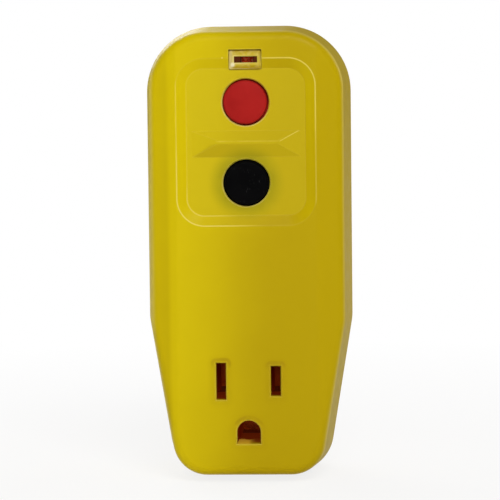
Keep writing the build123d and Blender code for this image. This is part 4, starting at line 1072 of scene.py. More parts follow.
@dataclass(frozen=True)
class ClearPlastic(Finish):
    """Clear moulded plastic: clear over the lamp's slot, and cloudy yellow in its bevels."""

    tint: Colour = srgb(252, 236, 190)
    cloudy: Colour = srgb(212, 188, 52)
    pale: Colour = srgb(236, 218, 140)
    deep: Colour = srgb(190, 160, 6)
    bright: Colour = srgb(255, 246, 206)
    shadow: Colour = srgb(88, 39, 12)
    middle: float = 74.4 * MM
    clear_x: float = 0.15 * MM
    clear_half: Pair = (2.6 * MM, 0.66 * MM)
    half: Pair = (3.7 * MM, 2.2 * MM)
    left_x: Pair = (-2.4 * MM, -3.4 * MM)
    dark_left: Pair = (-0.75 * MM, -1.2 * MM)
    dark_right: Pair = (1.85 * MM, 2.2 * MM)
    bright_place: Pair = (-2.9 * MM, -1.2 * MM)
    bright_reach: Pair = (0.7 * MM, 0.25 * MM)
    cloudy_clearness: float = 0.12
    refraction: float = 1.15

    def paint(self, graph: Graph) -> None:
        """Clear over the lamp, dark beside it, and cloudy round both.

        Args:
            graph: The material's nodes.
        """
        inner = graph.outside(self.clear_x, self.middle, *self.clear_half)
        cloudy = graph.ramp(inner, 0.0, 0.12 * MM)
        beside = graph.largest(graph.ramp(graph.x, *self.dark_left), graph.ramp(graph.x, *self.dark_right))
        slot = graph.mix(graph.ramp(beside, 0.0, 0.2), self.tint, self.shadow)
        closed = graph.largest(cloudy, graph.product(beside, 0.85))
        graph.shade(
            Base_Color=graph.mix(cloudy, slot, self.bevels(graph, inner)),
            Transmission_Weight=graph.ramp(closed, 0.0, 1.0, 1.0, self.cloudy_clearness),
            Roughness=graph.ramp(cloudy, 0.0, 1.0, 0.02, 0.3),
            IOR=self.refraction,
            Normal=graph.bump(graph.noise(0.9 * MM, 2.0, (3, 1, 1)), 0.006 * MM),
        )

    def bevels(self, graph: Graph, inner: Socket) -> Socket:
        """The cloudy part with painted light and shade: deeper above and below, pale on the left and along
        both edges.

        Args:
            graph: The material's nodes.
            inner: The distance outside the clear part.

        Returns:
            The colour.
        """
        outer = graph.outside(0.0, self.middle, *self.half)
        # Pale on the left as painted light, and in random swirls
        left = graph.ramp(graph.x, *self.left_x)
        swirl = graph.cloud(1.2 * MM, 0.0, 0.35, 3.0, SWIRL)
        diagonal = graph.total(graph.x, graph.z)
        # Painted highlights along both edges, strongest at the lower left
        low_left = graph.ramp(diagonal, self.middle + 1 * MM, self.middle - 3 * MM, 0.15, 1.0)
        edges = graph.largest(graph.line(inner, 0.24 * MM, 0.06 * MM, 0.12 * MM),
                              graph.product(graph.line(outer, -0.1 * MM, 0.06 * MM, 0.1 * MM), 0.5))
        pale = graph.largest(left, swirl, graph.product(edges, low_left))
        upwards = graph.minus(graph.z, self.middle)
        # Painted shade above and below
        ends = graph.largest(graph.ramp(upwards, 1.0 * MM, 1.7 * MM, 0.0, 0.55),
                             graph.ramp(upwards, -1.0 * MM, -1.7 * MM))
        body = graph.mix(pale, graph.mix(ends, self.cloudy, self.deep), self.pale)
        # A painted highlight near the lower left corner
        x, upper = self.bright_place
        corner = graph.ramp(graph.distance(x, self.middle + upper), *self.bright_reach, 0.0, 0.9)
        return graph.mix(corner, body, self.bright)


@dataclass(frozen=True)
class LampPlastic(Finish):
    """The lamp's tinted epoxy, and the tin on the leads behind it."""

    colour: Colour = srgb(206, 62, 6)
    deep: Colour = srgb(112, 22, 4)
    tin: Colour = TIN
    body_depth: float = 25.88 * MM
    bright_x: float = 0.45 * MM
    bright_half: Pair = (0.8 * MM, 1.6 * MM)
    clearness: float = 0.25
    refraction: float = 1.5
    light: float = 0.11

    def paint(self, graph: Graph) -> None:
        """Tinted and partly clear, darker at the sides, with a dim light in it and tinned leads.

        Args:
            graph: The material's nodes.
        """
        swirl = graph.cloud(1.0 * MM, 0.0, 0.7, 3.0, SWIRL)
        aside = graph.math("ABSOLUTE", graph.minus(graph.x, self.bright_x))
        dark = graph.largest(swirl, graph.ramp(aside, *self.bright_half))
        body = graph.ramp(graph.y, -self.body_depth + 0.02 * MM, -self.body_depth)
        graph.shade(
            Base_Color=graph.mix(body, self.tin, graph.mix(dark, self.colour, self.deep)),
            Metallic=graph.minus(1.0, body),
            Transmission_Weight=graph.product(body, self.clearness),
            Roughness=graph.cloud(0.5 * MM, 0.12, 0.22),
            IOR=self.refraction,
            Emission_Color=self.colour,
            Emission_Strength=graph.product(body, self.light),
        )


@dataclass(frozen=True)
class Metal(Finish):
    """Bare or plated metal with drawing lines, cloudy tarnish and bright rubbed edges.

    Where dull_depth is set, it is dull in front of that depth. Where glow is set, a painted glow stands
    for the case's light on it, most at its foot.
    """

    colour: Colour
    tarnish: Colour
    roughness: float = 0.28
    lines: Point = (1, 30, 1)
    line_size: float = 0.12 * MM
    line_depth: float = 0.003 * MM
    rubbed_width: float = 0.2 * MM
    rubbed_share: float = 0.6
    dull_depth: float = 0.0
    dull: Colour = srgb(150, 66, 24)
    glow: float = 0.0
    glow_z: Pair = (9 * MM, -9 * MM)

    def paint(self, graph: Graph) -> None:
        """Tarnish by a cloudy noise, roughness and bump by noise stretched along the lines.

        Args:
            graph: The material's nodes.
        """
        cloud = graph.cloud(3 * MM, 0.0, 0.75, 5.0, (0.4, 0.72))
        drawn = graph.noise(self.line_size, 2.0, self.lines)
        bright = graph.product(graph.edges(self.rubbed_width), self.rubbed_share)
        colour = graph.mix(bright, graph.mix(cloud, self.colour, self.tarnish), self.colour)
        if self.dull_depth:
            share = graph.ramp(graph.y, -self.dull_depth, -self.dull_depth - 1 * MM)
            colour = graph.mix(share, colour, self.dull)
        graph.shade(
            Base_Color=colour,
            Metallic=1.0,
            Roughness=graph.ramp(drawn, 0.25, 0.75, self.roughness - 0.07, self.roughness + 0.1),
            Normal=graph.bump(drawn, self.line_depth),
        )
        if self.glow:
            # A painted glow for the case's light
            lit = graph.ramp(graph.z, *self.glow_z, 0.0, self.glow)
            graph.shade(Emission_Color=THROUGH_CASE, Emission_Strength=lit)


@dataclass(frozen=True)
class EnamelledWire(Finish):
    """Copper wire under a coat of clear amber enamel."""

    copper: Colour = srgb(196, 104, 52)
    amber: Colour = srgb(150, 66, 24)
    metallic: float = 0.85
    coat: float = 0.7
    coat_roughness: float = 0.12

    def paint(self, graph: Graph) -> None:
        """Two amber tones by noise under a glossy coat.

        Args:
            graph: The material's nodes.
        """
        graph.shade(
            Base_Color=graph.mix(graph.cloud(1.4 * MM, 0.0, 1.0, 3.0, SWIRL), self.copper, self.amber),
            Metallic=self.metallic,
            Roughness=graph.cloud(0.4 * MM, 0.22, 0.34),
            Coat_Weight=self.coat,
            Coat_Roughness=self.coat_roughness,
        )


@dataclass(frozen=True)
class Ceramic(Finish):
    """Ferrite, thermoset and dipped coatings: a dull body with pits and a soft speckle."""

    colour: Colour
    speck: Colour
    roughness: float = 0.6
    speck_size: float = 0.25 * MM
    speck_reach: Pair = (0.55, 0.68)
    pit_depth: float = 0.012 * MM
    coat: float = 0.0
    coat_roughness: float = 0.15
    glow: float = 0.0

    def paint(self, graph: Graph) -> None:
        """Speckle in the colour, pits in the bump, and the case's light on it where it glows.

        Args:
            graph: The material's nodes.
        """
        tone = graph.cloud(2.5 * MM, 0.0, 0.35, 3.0)
        specks = graph.ramp(graph.noise(self.speck_size, 3.0), *self.speck_reach)
        graph.shade(
            Base_Color=graph.mix(specks, graph.mix(tone, self.colour, self.speck), self.speck),
            Roughness=self.dull(graph),
            Coat_Weight=self.coat,
            Coat_Roughness=self.coat_roughness,
            Normal=self.pits(graph),
            # A painted glow for the case's light, where glow is set
            Emission_Color=THROUGH_CASE,
            Emission_Strength=self.glow,
        )

    def dull(self, graph: Graph) -> Socket:
        """The body's uneven roughness."""
        return graph.cloud(0.8 * MM, self.roughness - 0.08, self.roughness + 0.1)

    def pits(self, graph: Graph) -> Socket:
        """The body's pitted normal."""
        return graph.bump(graph.noise(self.speck_size, 4.0), self.pit_depth)


@dataclass(frozen=True)
class Component(Ceramic):
    """A component's body with tinned leads, and with bands round it where it has a code.

    Its leads are bare behind bare_below, in front of bare_above, and past the body's two ends.
    """

    bare_below: float = 0.0
    bare_above: float = 1.0
    body: Pair = (0.0, 1.0)
    bands: tuple[tuple[float, Colour], ...] = ()
    band_half: float = 0.17 * MM
    band_soft: float = 0.04 * MM
    tin: Colour = TIN

    def paint(self, graph: Graph) -> None:
        """The body's colour and bands, then bare metal near the board and past the body's ends.

        Args:
            graph: The material's nodes.
        """
        tone = graph.ramp(graph.noise(self.speck_size, 3.0), 0.5, 0.7, 0.0, 0.8)
        colour = graph.mix(tone, self.colour, self.speck)
        for place, tint in self.bands:
            band = graph.line(graph.x, place, self.band_half, self.band_soft)
            colour = graph.mix(band, colour, tint)
        depth = graph.depth()
        near = graph.ramp(depth, self.bare_below + 0.05 * MM, self.bare_below)
        far = graph.ramp(depth, self.bare_above - 0.05 * MM, self.bare_above)
        middle, half = self.body
        past = graph.math("ABSOLUTE", graph.minus(graph.x, middle))
        bare = graph.largest(near, far, graph.ramp(past, half - 0.03 * MM, half + 0.02 * MM))
        graph.shade(
            Base_Color=graph.mix(bare, colour, self.tin),
            Metallic=bare,
            Roughness=graph.minus(self.dull(graph), graph.product(bare, 0.12)),
            Coat_Weight=self.coat,
            Coat_Roughness=self.coat_roughness,
            Normal=self.pits(graph),
        )


@dataclass(frozen=True)
class Laminate(Finish):
    """The circuit board: solder mask over glass weave, with copper tracks showing through."""

    mask: Colour = srgb(18, 84, 48)
    track: Colour = srgb(44, 122, 66)
    weave: float = 0.5 * MM
    weave_depth: float = 0.01 * MM
    weave_height: float = 0.5
    track_height: float = 3.0
    track_reach: Pair = (0.42, 0.36)
    pitch: float = 2.54 * MM
    coat: float = 0.3

    def paint(self, graph: Graph) -> None:
        """Tracks where a cell pattern's borders are near, weave from crossed waves.

        Args:
            graph: The material's nodes.
        """
        cells = graph.node("ShaderNodeTexVoronoi", {"distance": "MANHATTAN", "feature": "F1"},
                           Vector=graph.place, Scale=1 / (2 * self.pitch), Randomness=0.75)
        tracks = graph.ramp(cells.outputs["Distance"], *self.track_reach)
        crossed = [graph.math("SINE", graph.product(axis, 2 * math.pi / self.weave))
                   for axis in (graph.x, graph.z)]
        cloth = graph.product(*crossed, self.weave_height)
        height = graph.total(cloth, graph.product(tracks, self.track_height))
        graph.shade(
            Base_Color=graph.mix(graph.product(tracks, 0.85), self.mask, self.track),
            Roughness=graph.cloud(1.1 * MM, 0.28, 0.4),
            Coat_Weight=self.coat,
            Normal=graph.bump(height, self.weave_depth),
        )


CASE = CasePlastic("case_yellow")
RED = MouldedPlastic("button_red", srgb(173, 29, 26), srgb(161, 24, 22), srgb(194, 66, 54),
                     roughness=0.5, specular=0.07, grain=0.25 * MM, grain_depth=0.008 * MM)
BLACK = MouldedPlastic("button_black", srgb(7, 7, 8), srgb(10, 10, 11), srgb(64, 64, 64),
                       roughness=0.46, specular=0.012, grain=0.22 * MM, scuffs=0.9)
WINDOW = ClearPlastic("window_clear")
LAMP = LampPlastic("lamp_red")
BLADE = Metal("blade_brass", srgb(222, 188, 108), srgb(196, 154, 78), 0.24, dull_depth=8 * MM)
STAMPING = Metal("contact_brass", srgb(214, 172, 92), srgb(172, 128, 62), 0.32, (30, 1, 1))
# The outlet's contacts carry a painted glow for the case's light
BRONZE = Metal("contact_brass", srgb(198, 92, 32), srgb(166, 72, 24), 0.42, (30, 1, 1),
               version="_outlet", glow=0.2)
SILVER = Metal("contact_silver", srgb(226, 224, 218), srgb(184, 178, 166), 0.3, (1, 1, 1))
STEEL = Metal("steel", srgb(198, 200, 202), srgb(160, 160, 158), 0.3, (1, 1, 30))
SPRING = Metal("spring_steel", srgb(186, 188, 192), srgb(136, 134, 132), 0.26, (1, 1, 1))
NYLON = MouldedPlastic("nylon_white", srgb(226, 222, 208), srgb(214, 208, 190), srgb(240, 238, 230), 0.5)
# With a painted glow for the case's light
THERMOSET = Ceramic("phenolic_black", srgb(56, 22, 12), srgb(74, 34, 18), 0.55, glow=0.2)
ENAMEL = EnamelledWire("copper_enamel")
FERRITE = Ceramic("ferrite", srgb(56, 56, 60), srgb(86, 86, 90), 0.5)
BOARD = Laminate("board_green")
WHITE_WIRE = MouldedPlastic("wire_white", srgb(226, 226, 222), srgb(212, 212, 206),
                            srgb(238, 238, 234), 0.4)
BLACK_WIRE = MouldedPlastic("wire_black", srgb(24, 24, 26), srgb(32, 32, 34), srgb(60, 60, 62), 0.4)
EPOXY_TONES = (srgb(30, 30, 32), srgb(50, 50, 52))
THYRISTOR = Component("epoxy_black", *EPOXY_TONES, 0.55, bare_below=8.0 * MM, version="_thyristor")
CHIP = Component("epoxy_black", *EPOXY_TONES, 0.55, body=(0.0, 2.0 * MM), version="_chip")
DIODE = Component("epoxy_black", *EPOXY_TONES, 0.5, body=(16.6 * MM, 1.8 * MM),
                  bands=((15.3 * MM, srgb(206, 208, 210)),), band_half=0.26 * MM, version="_diode")
VARISTOR = Component("varistor_blue", srgb(24, 66, 138), srgb(34, 84, 160), 0.35,
                     coat=0.6, bare_below=6.85 * MM)
CERAMIC = Component("ceramic_tan", srgb(190, 122, 56), srgb(206, 146, 84), 0.4,
                    coat=0.4, bare_below=7.05 * MM)
SLEEVE = Component("sleeve_dark", srgb(28, 30, 44), srgb(44, 46, 62), 0.35,
                   coat=0.5, bare_above=14.05 * MM,
                   bands=((12.0 * MM, srgb(150, 154, 168)),), band_half=0.5 * MM)
BEIGE_TONES = (srgb(206, 182, 140), srgb(220, 200, 164))
CODE = (srgb(120, 66, 30), srgb(30, 28, 28), srgb(176, 52, 30), srgb(176, 140, 62))
CODE_PLACES = (-0.68, -0.33, 0.02, 0.62)


def coded(middle: float, half: float, version: str) -> Component:
    """A resistor with four code bands, the last one apart from the others.

    Args:
        middle: The middle of its body in x.
        half: Half its body's length.
        version: What tells its material from the other resistors' one.

    Returns:
        The finish.
    """
    bands = tuple((middle + share * half, tint) for share, tint in zip(CODE_PLACES, CODE))
    return Component("resistor_beige", *BEIGE_TONES, 0.4, coat=0.5, body=(middle, half),
                     bands=bands, band_half=0.09 * half, version=version)


SMALL_RESISTOR = coded(-16.2 * MM, 1.8 * MM, "_small")
TEST_RESISTOR = coded(15.2 * MM, 2.8 * MM, "_test")


# Pieces


@dataclass
class Assembly(ABC):
    """A sub-assembly: it makes its pieces and dresses the frame's nodes that it owns."""

    nodes: dict[str, bpy.types.Object]

    @abstractmethod
    def build(self) -> None:
        """Makes and dresses everything in the sub-assembly."""

    def dress(self, finish: Finish, *names: str) -> None:
        """Gives a finish to nodes of the frame whose own shape is right.

        Args:
            finish: The finish.
            names: The nodes' names.
        """
        for name in names:
            node = self.nodes[name]
            for slot in node.material_slots:
                slot.material = finish.material()
            LOG.info("dressed %s as %s", name, finish.slot)

    def add(self, piece: bpy.types.Object, finish: Finish, body: str | None,
            *replaced: str) -> bpy.types.Object:
        """Finishes a new piece and seats it on its body.

        Args:
            piece: The new object.
            finish: Its finish.
            body: The body that it rides on, or None to leave it on no body.
            replaced: The frame's nodes that it stands for.

        Returns:
            The same object.
        """
        piece.data.materials.append(finish.material())
        if body is not None:
            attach(piece, body)
        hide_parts(*replaced)
        faces = len(piece.data.polygons)
        LOG.info("made %s: %d faces, stands for %s", piece.name, faces, ", ".join(replaced))
        return piece


@dataclass
class Case(Assembly):
    """The two shells of the case and the screws that hold them together."""

    head_radius: float = 2.6 * MM
    head_height: float = 1.8 * MM
    head_crown: float = 0.5 * MM
    cross_reach: float = 1.45 * MM
    cross_half_width: float = 0.32 * MM
    cross_depth: float = 1.1 * MM
    cross_soft: Pair = (0.12 * MM, 0.35 * MM)
    shank_radius: float = 1.45 * MM
    thread_pitch: float = 1.1 * MM
    thread_depth: float = 0.3 * MM
    tip_length: float = 1.5 * MM
    tip_share: float = 0.45
    seat_depth: float = 10 * MM
    head_sides: int = 96
    shank_sides: int = 24
    rows_in_turn: int = 8

    def build(self) -> None:
        """Dresses the shells and makes the screws."""
        self.dress(CASE, "front_cover", "rear_cover")
        box = Extent.of("cover_screws")
        length = box.size[1] - self.head_height
        parts = [part.placed((x, -self.seat_depth, z), Direction.BACKWARDS)
                 for x, z in self.places(box) for part in (self.head(), self.shank(length))]
        self.add(make_piece("case_screws", *parts), STEEL, "housing", "cover_screws")

    def places(self, box: Extent) -> list[Pair]:
        """The screws' axes in x and z: the middles of the node's four clusters of points.

        Args:
            box: The node's box.

        Returns:
            The axes, the upper right one first.
        """
        mesh = self.nodes["cover_screws"].data
        points = np.zeros(len(mesh.vertices) * 3)
        mesh.vertices.foreach_get("co", points)
        points = points.reshape(-1, 3)
        upper = points[:, 2] > box.middle[2]
        right = points[:, 0] > 0
        sides = [(high, hand) for high in (True, False) for hand in (True, False)]
        groups = [points[(upper == high) & (right == hand)] for high, hand in sides]
        middles = [(group.min(0) + group.max(0)) / 2 for group in groups]
        return [(float(middle[0]), float(middle[2])) for middle in middles]

    def head(self) -> Surface:
        """A pan head: a crown with a cross cut into it, then a straight side.

        With H the head's height and h the crown's, the height at radius r is H - h (r / R)^2.
        The cross is cut where the smaller of the two distances across the arms is inside the
        half width and the larger is inside the reach.

        Returns:
            The head, with its seat at the local origin.
        """
        # Rings close together over the cross, and wider apart outside it
        share = np.concatenate([np.linspace(0.02, 0.62, 34), np.linspace(0.66, 0.97, 8)])
        angle = np.linspace(0, 2 * np.pi, self.head_sides, endpoint=False)
        radius = share[:, None] * self.head_radius
        u, v = np.abs(radius * np.cos(angle)), np.abs(radius * np.sin(angle))
        narrow, wide = np.minimum(u, v), np.maximum(u, v)
        side_soft, end_soft = self.cross_soft
        inside = smooth_step((self.cross_half_width - narrow) / side_soft + 0.5)
        inside = inside * smooth_step((self.cross_reach - wide) / end_soft + 0.5)
        top = self.head_height - self.head_crown * share[:, None] ** 2 - self.cross_depth * inside
        face = np.stack([top, radius * np.cos(angle), radius * np.sin(angle)], -1)
        side = np.array([(1.0, self.head_height - 1.5 * self.head_crown), (1.0, 0.0), (0.5, 0.0)])
        rings = side[:, :1] * self.head_radius
        level = np.broadcast_to(side[:, 1:], (len(side), self.head_sides))
        wall = np.stack([level, rings * np.cos(angle), rings * np.sin(angle)], -1)
        return closed_grid(np.concatenate([face, wall]))

    def shank(self, length: float) -> Surface:
        """A threaded shank: radius R - d |saw|, where saw turns with height and angle together.

        Args:
            length: The shank's length.

        Returns:
            The shank, from the local origin down to its narrower tip.
        """
        rows = int(self.rows_in_turn * length / self.thread_pitch)
        height = np.linspace(0.0, -length, rows)[:, None]
        angle = np.linspace(0, 2 * np.pi, self.shank_sides, endpoint=False)
        turn = height / self.thread_pitch + angle / (2 * np.pi)
        saw = np.abs((turn % 1.0) * 2 - 1)
        taper = smooth_step((height + length) / self.tip_length)
        narrowed = self.tip_share + (1 - self.tip_share) * taper
        radius = (self.shank_radius - self.thread_depth * saw) * narrowed
        level = np.broadcast_to(height, radius.shape)
        return closed_grid(np.stack([level, radius * np.cos(angle), radius * np.sin(angle)], -1))


@dataclass
class PushButton(Assembly):
    """One push button: a crowned cap with a rounded rim, its flange and its stem."""

    node: str
    body: str
    finish: Finish
    stem_radius: float
    bore: float = 0.0
    bore_length: float = 3.5 * MM
    flange_lip: float = 1.17 * MM
    sideways: float = 0.0
    flange_thickness: float = 1.1 * MM
    flange_gap: float = 0.1 * MM
    cap_height: float = 2.5 * MM
    rim_radius: float = 0.55 * MM
    crown: float = 0.18 * MM
    crown_rows: int = 24

    def build(self) -> None:
        """Makes the button from its node's box."""
        box = Extent.of(self.node)
        length = box.size[1]
        surface = turned(self.profile(box.size[0] / 2, length))
        # Only the cap, in front of the flange, sits off centre
        cap = surface.points[:, 0] > length - self.cap_height + self.flange_gap
        surface.points[cap, 1] += self.sideways
        surface = surface.placed(box.back, Direction.FORWARDS)
        self.add(make_piece(f"{self.node}_cap", surface), self.finish, self.body, self.node)

    def profile(self, flange: float, length: float) -> np.ndarray:
        """The lathe profile, (radius, height above the stem's end), from the cap's centre down.

        The cap's top falls by crown (r / R)^2 and turns into the side by a quarter circle.

        Args:
            flange: The flange's radius.
            length: The whole button's length.

        Returns:
            The profile's points.
        """
        cap = flange - self.flange_lip
        share = np.linspace(0.03, 1, self.crown_rows)
        flat = cap - self.rim_radius
        top = np.stack([share * flat, length - self.crown * share**2], -1)
        rim = quarter((flat, length - self.crown - self.rim_radius), self.rim_radius, 90)
        front = length - self.cap_height
        back = front - self.flange_thickness
        rest = [(cap, front), (flange, front), (flange, back),
                (self.stem_radius, back), (self.stem_radius, 0)]
        if self.bore:
            rest += [(self.bore, 0), (self.bore, self.bore_length)]
        return np.concatenate([top, rim, np.array(rest)])


@dataclass
class Indicator(Assembly):
    """The clear window in the recessed panel and the lamp behind it."""

    corner: float = 0.35 * MM
    bevel: float = 0.75 * MM
    bevel_drop: float = 0.55 * MM
    edge: float = 0.08 * MM
    lamp_radius: float = 1.5 * MM
    collar: float = 0.3 * MM
    collar_height: float = 0.8 * MM
    lamp_length: float = 5.2 * MM
    lead_spacing: float = 1.27 * MM
    lead_half: float = 0.25 * MM
    lamp_sides: int = 48
    dome_rows: int = 12

    def build(self) -> None:
        """Makes the window and the lamp."""
        self.add(make_piece("window_lens", self.lens()), WINDOW, "housing", "indicator_window")
        self.add(make_piece("lamp_body", *self.lamp()), LAMP, "housing", "indicator_lamp")

    def lens(self) -> Surface:
        """Rounded rectangles stacked from back to front, drawn in over the bevel.

        Returns:
            The lens, in the frame's coordinates.
        """
        box = Extent.of("indicator_window")
        width, thickness, height = box.size
        shoulder = thickness - self.bevel_drop
        rows = [(0.0, self.edge), (self.edge, 0.0), (shoulder - self.edge, 0.0), (shoulder, self.edge),
                (thickness - self.edge, self.bevel - self.edge), (thickness, self.bevel + self.edge),
                (thickness, self.bevel + 3 * self.edge)]
        rings = []
        for level, inset in rows:
            outline = rounded_rectangle(width - 2 * inset, height - 2 * inset, self.corner)
            rings.append(np.column_stack([np.full(len(outline), level), outline]))
        return closed_grid(np.stack(rings)).placed(box.back, Direction.FORWARDS)

    def lamp(self) -> list[Surface]:
        """A domed body with a collar, on two straight leads.

        Returns:
            The body and the leads, in the frame's coordinates.
        """
        box = Extent.of("indicator_lamp")
        tip = box.size[1]
        base = tip - self.lamp_length
        shoulder = base + self.collar_height
        wide = self.lamp_radius + self.collar
        dome = quarter((0.0, tip - self.lamp_radius), self.lamp_radius, 88, self.dome_rows)
        low = [(self.lamp_radius, shoulder), (wide, shoulder), (wide, base), (0.1 * wide, base)]
        body = turned(np.concatenate([dome, np.array(low)]), self.lamp_sides)
        body = body.placed(box.back, Direction.FORWARDS)
        leads = []
        for side in (1, -1):
            forwards = -np.linspace(0, base, 3)
            path = np.stack([np.full(3, side * self.lead_spacing), forwards, np.zeros(3)], -1)
            leads.append(along(box.back + path, (1.0, 0.0, 0.0), circle(self.lead_half)))
        return [body, *leads]


class Wound:
    """Wire wound round something: springs, the solenoid's coil and the rings' windings."""

    steps: int = 28
    squareness: float = 0.45

    @staticmethod
    def helix(radius: float, length: float, turns: float, dead: float) -> tuple[np.ndarray, np.ndarray]:
        """A spring's line: (h, R cos a, R sin a), with flat end turns.

        Args:
            radius: The line's radius.
            length: From the first end to the other.
            turns: How many turns it makes.
            dead: How many turns lie flat at each end.

        Returns:
            The line's points and the directions outwards, in local coordinates.
        """
        turn = np.linspace(0, turns, int(turns * Wound.steps) + 1)
        height = length * np.clip((turn - dead) / (turns - 2 * dead), 0, 1)
        window = Wound.steps // 2 + 1
        padded = np.pad(height, Wound.steps // 4, mode="edge")
        angle = 2 * np.pi * turn
        outwards = np.stack([np.zeros_like(angle), np.cos(angle), np.sin(angle)], -1)
        line = radius * outwards
        line[:, 0] = np.convolve(padded, np.ones(window), "valid") / window
        return line, outwards

    @staticmethod
    def coil(radius: float, length: float, turns: float, wire: float, dead: float = 0.5) -> Surface:
        """A round wire carried along a helix."""
        return along(*Wound.helix(radius, length, turns, dead), circle(wire / 2))

    @staticmethod
    def ring(middle: float, half: Pair, turns: int, start: float, arc: float, wire: float) -> Surface:
        """A wire wound round a ring's section while it goes round the ring.

        The point at share s is the ring's circle at angle start + arc s, plus a rounded square
        of half sizes a and b: (a |cos|^k sign, b |sin|^k sign) of 2 pi turns s, with k the
        squareness.

        Args:
            middle: The radius of the section's middle.
            half: The rounded square's half sizes, along the radius and along the axis.
            turns: How many turns the wire makes.
            start: The ring's angle at the first turn, in degrees.
            arc: How far round the ring the turns go, in degrees.
            wire: The wire's diameter.

        Returns:
            The wound wire, round the local origin.
        """
        share = np.linspace(0, 1, turns * Wound.steps)
        round_ring = np.radians(start + arc * share)
        loop = 2 * np.pi * turns * share
        outwards = np.stack([np.cos(round_ring), np.sin(round_ring), np.zeros_like(share)], -1)
        u, v = (np.sign(wave) * np.abs(wave) ** Wound.squareness for wave in (np.cos(loop), np.sin(loop)))
        up = np.array([0.0, 0.0, 1.0])
        line = (middle + half[0] * u[:, None]) * outwards + half[1] * v[:, None] * up
        normal = u[:, None] * outwards + v[:, None] * up
        return along(line, normal, circle(wire / 2, 6))


@dataclass
class Mechanism(Assembly):
    """The latch that holds the contacts closed, with its springs and both contact arms."""

    spring_wire: float = 0.6 * MM
    spring_turns: float = 5.5
    reset_travel: float = 2.6 * MM
    leaf_thickness: float = 0.4 * MM
    leaf_bend: float = 1.2 * MM
    post_inset: float = 1.0 * MM
    leaf_corner: float = 0.15 * MM
    leaf_rows: int = 24
    point_sides: int = 32
    point_inset: float = 2.0 * MM
    point_profile: tuple[Pair, ...] = (
        (0.05 * MM, 0.3 * MM), (0.5 * MM, 0.28 * MM), (0.8 * MM, 0.0), (0.4 * MM, -0.1 * MM))

    def build(self) -> None:
        """Dresses the mechanism and makes its two springs."""
        self.dress(NYLON, "mechanism_frame", "contact_carriage")
        self.dress(STEEL, "latch_plate", "reset_pin")
        for side in ("line", "neutral"):
            self.dress(STAMPING, f"{side}_contact_arm", f"{side}_arm_post")
            self.dress(SILVER, f"{side}_moving_contact", f"{side}_fixed_contact")
        self.dress(STAMPING, "test_contact")
        self.make_reset_spring()
        self.make_test_leaf()

    def make_reset_spring(self) -> None:
        """The spring behind the reset button."""
        box = Extent.of("reset_spring")
        wire = self.spring_wire
        length = box.size[1] - wire
        surface = Wound.coil(box.size[0] / 2 - wire / 2, length, self.spring_turns, wire)
        surface = surface.placed(box.back - (0, wire / 2, 0), Direction.FORWARDS)
        piece = self.add(make_piece("reset_coil_spring", surface), SPRING, "housing", "reset_spring")
        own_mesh(piece)

    def make_test_leaf(self) -> None:
        """The test switch's leaf: one folded strip, with a contact point near its free end."""
        box = Extent.of("test_spring")
        half = self.leaf_thickness / 2
        post = box.high[0] - self.post_inset
        front = box.low[1] + half
        bend = quarter((post - self.leaf_bend, front + self.leaf_bend), self.leaf_bend, 0)
        rise = np.linspace(box.high[1], front + self.leaf_bend, 5, endpoint=False)
        reach = np.linspace(post - self.leaf_bend, box.low[0], self.leaf_rows)[1:]
        flat = np.concatenate([
            np.stack([np.full_like(rise, post), rise], -1), bend,
            np.stack([reach, np.full_like(reach, front)], -1)])
        path = np.stack([flat[:, 0], flat[:, 1], np.full(len(flat), box.middle[2])], -1)
        section = rounded_rectangle(box.size[2], self.leaf_thickness, self.leaf_corner)
        strip = along(path, (0.0, 0.0, 1.0), section)
        point = turned(np.array(self.point_profile), self.point_sides).placed(
            (box.low[0] + self.point_inset, front + half, box.middle[2]), Direction.BACKWARDS)
        piece = self.add(make_piece("test_leaf_spring", strip, point), STAMPING, None, "test_spring")
        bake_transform(piece)


@dataclass
class TripSolenoid(Assembly):
    """The solenoid that pulls the latch plate down."""

    wire: float = 0.4 * MM
    bobbin_wall_radius: float = 3.3 * MM
    sides: int = 64
    spring_wire: float = 0.4 * MM
    spring_turns: float = 4.5
    travel: float = 1.6 * MM

    def build(self) -> None:
        """Dresses the yoke, bobbin and plunger and winds the coil and the return spring."""
        self.dress(STEEL, "solenoid_yoke", "solenoid_plunger")
        self.dress(NYLON, "solenoid_bobbin")
        box = Extent.of("solenoid_coil")
        outer, height = box.size[0] / 2, box.size[2]
        turns = int(height / self.wire) - 1
        layer = Wound.coil(outer - self.wire / 2, height - self.wire, turns, self.wire, dead=0.0)
        layer = layer.placed(box.foot + (0, 0, self.wire / 2), Direction.UPWARDS)
        wall, below = self.bobbin_wall_radius, outer - self.wire
        profile = np.array([(wall, 0.0), (below, 0.0), (below, height), (wall, height)])
        under = turned(profile, self.sides).placed(box.foot, Direction.UPWARDS)
        self.add(make_piece("solenoid_winding", layer, under), ENAMEL, "housing", "solenoid_coil")
        self.make_spring()

    def make_spring(self) -> None:
        """The return spring under the plunger."""
        box = Extent.of("plunger_spring")
        wire = self.spring_wire
        surface = Wound.coil(box.size[0] / 2 - wire / 2, box.size[2] - wire, self.spring_turns, wire)
        surface = surface.placed(box.foot + (0, 0, wire / 2), Direction.UPWARDS)
        piece = self.add(make_piece("plunger_return_spring", surface), SPRING, "housing", "plunger_spring")
        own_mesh(piece)


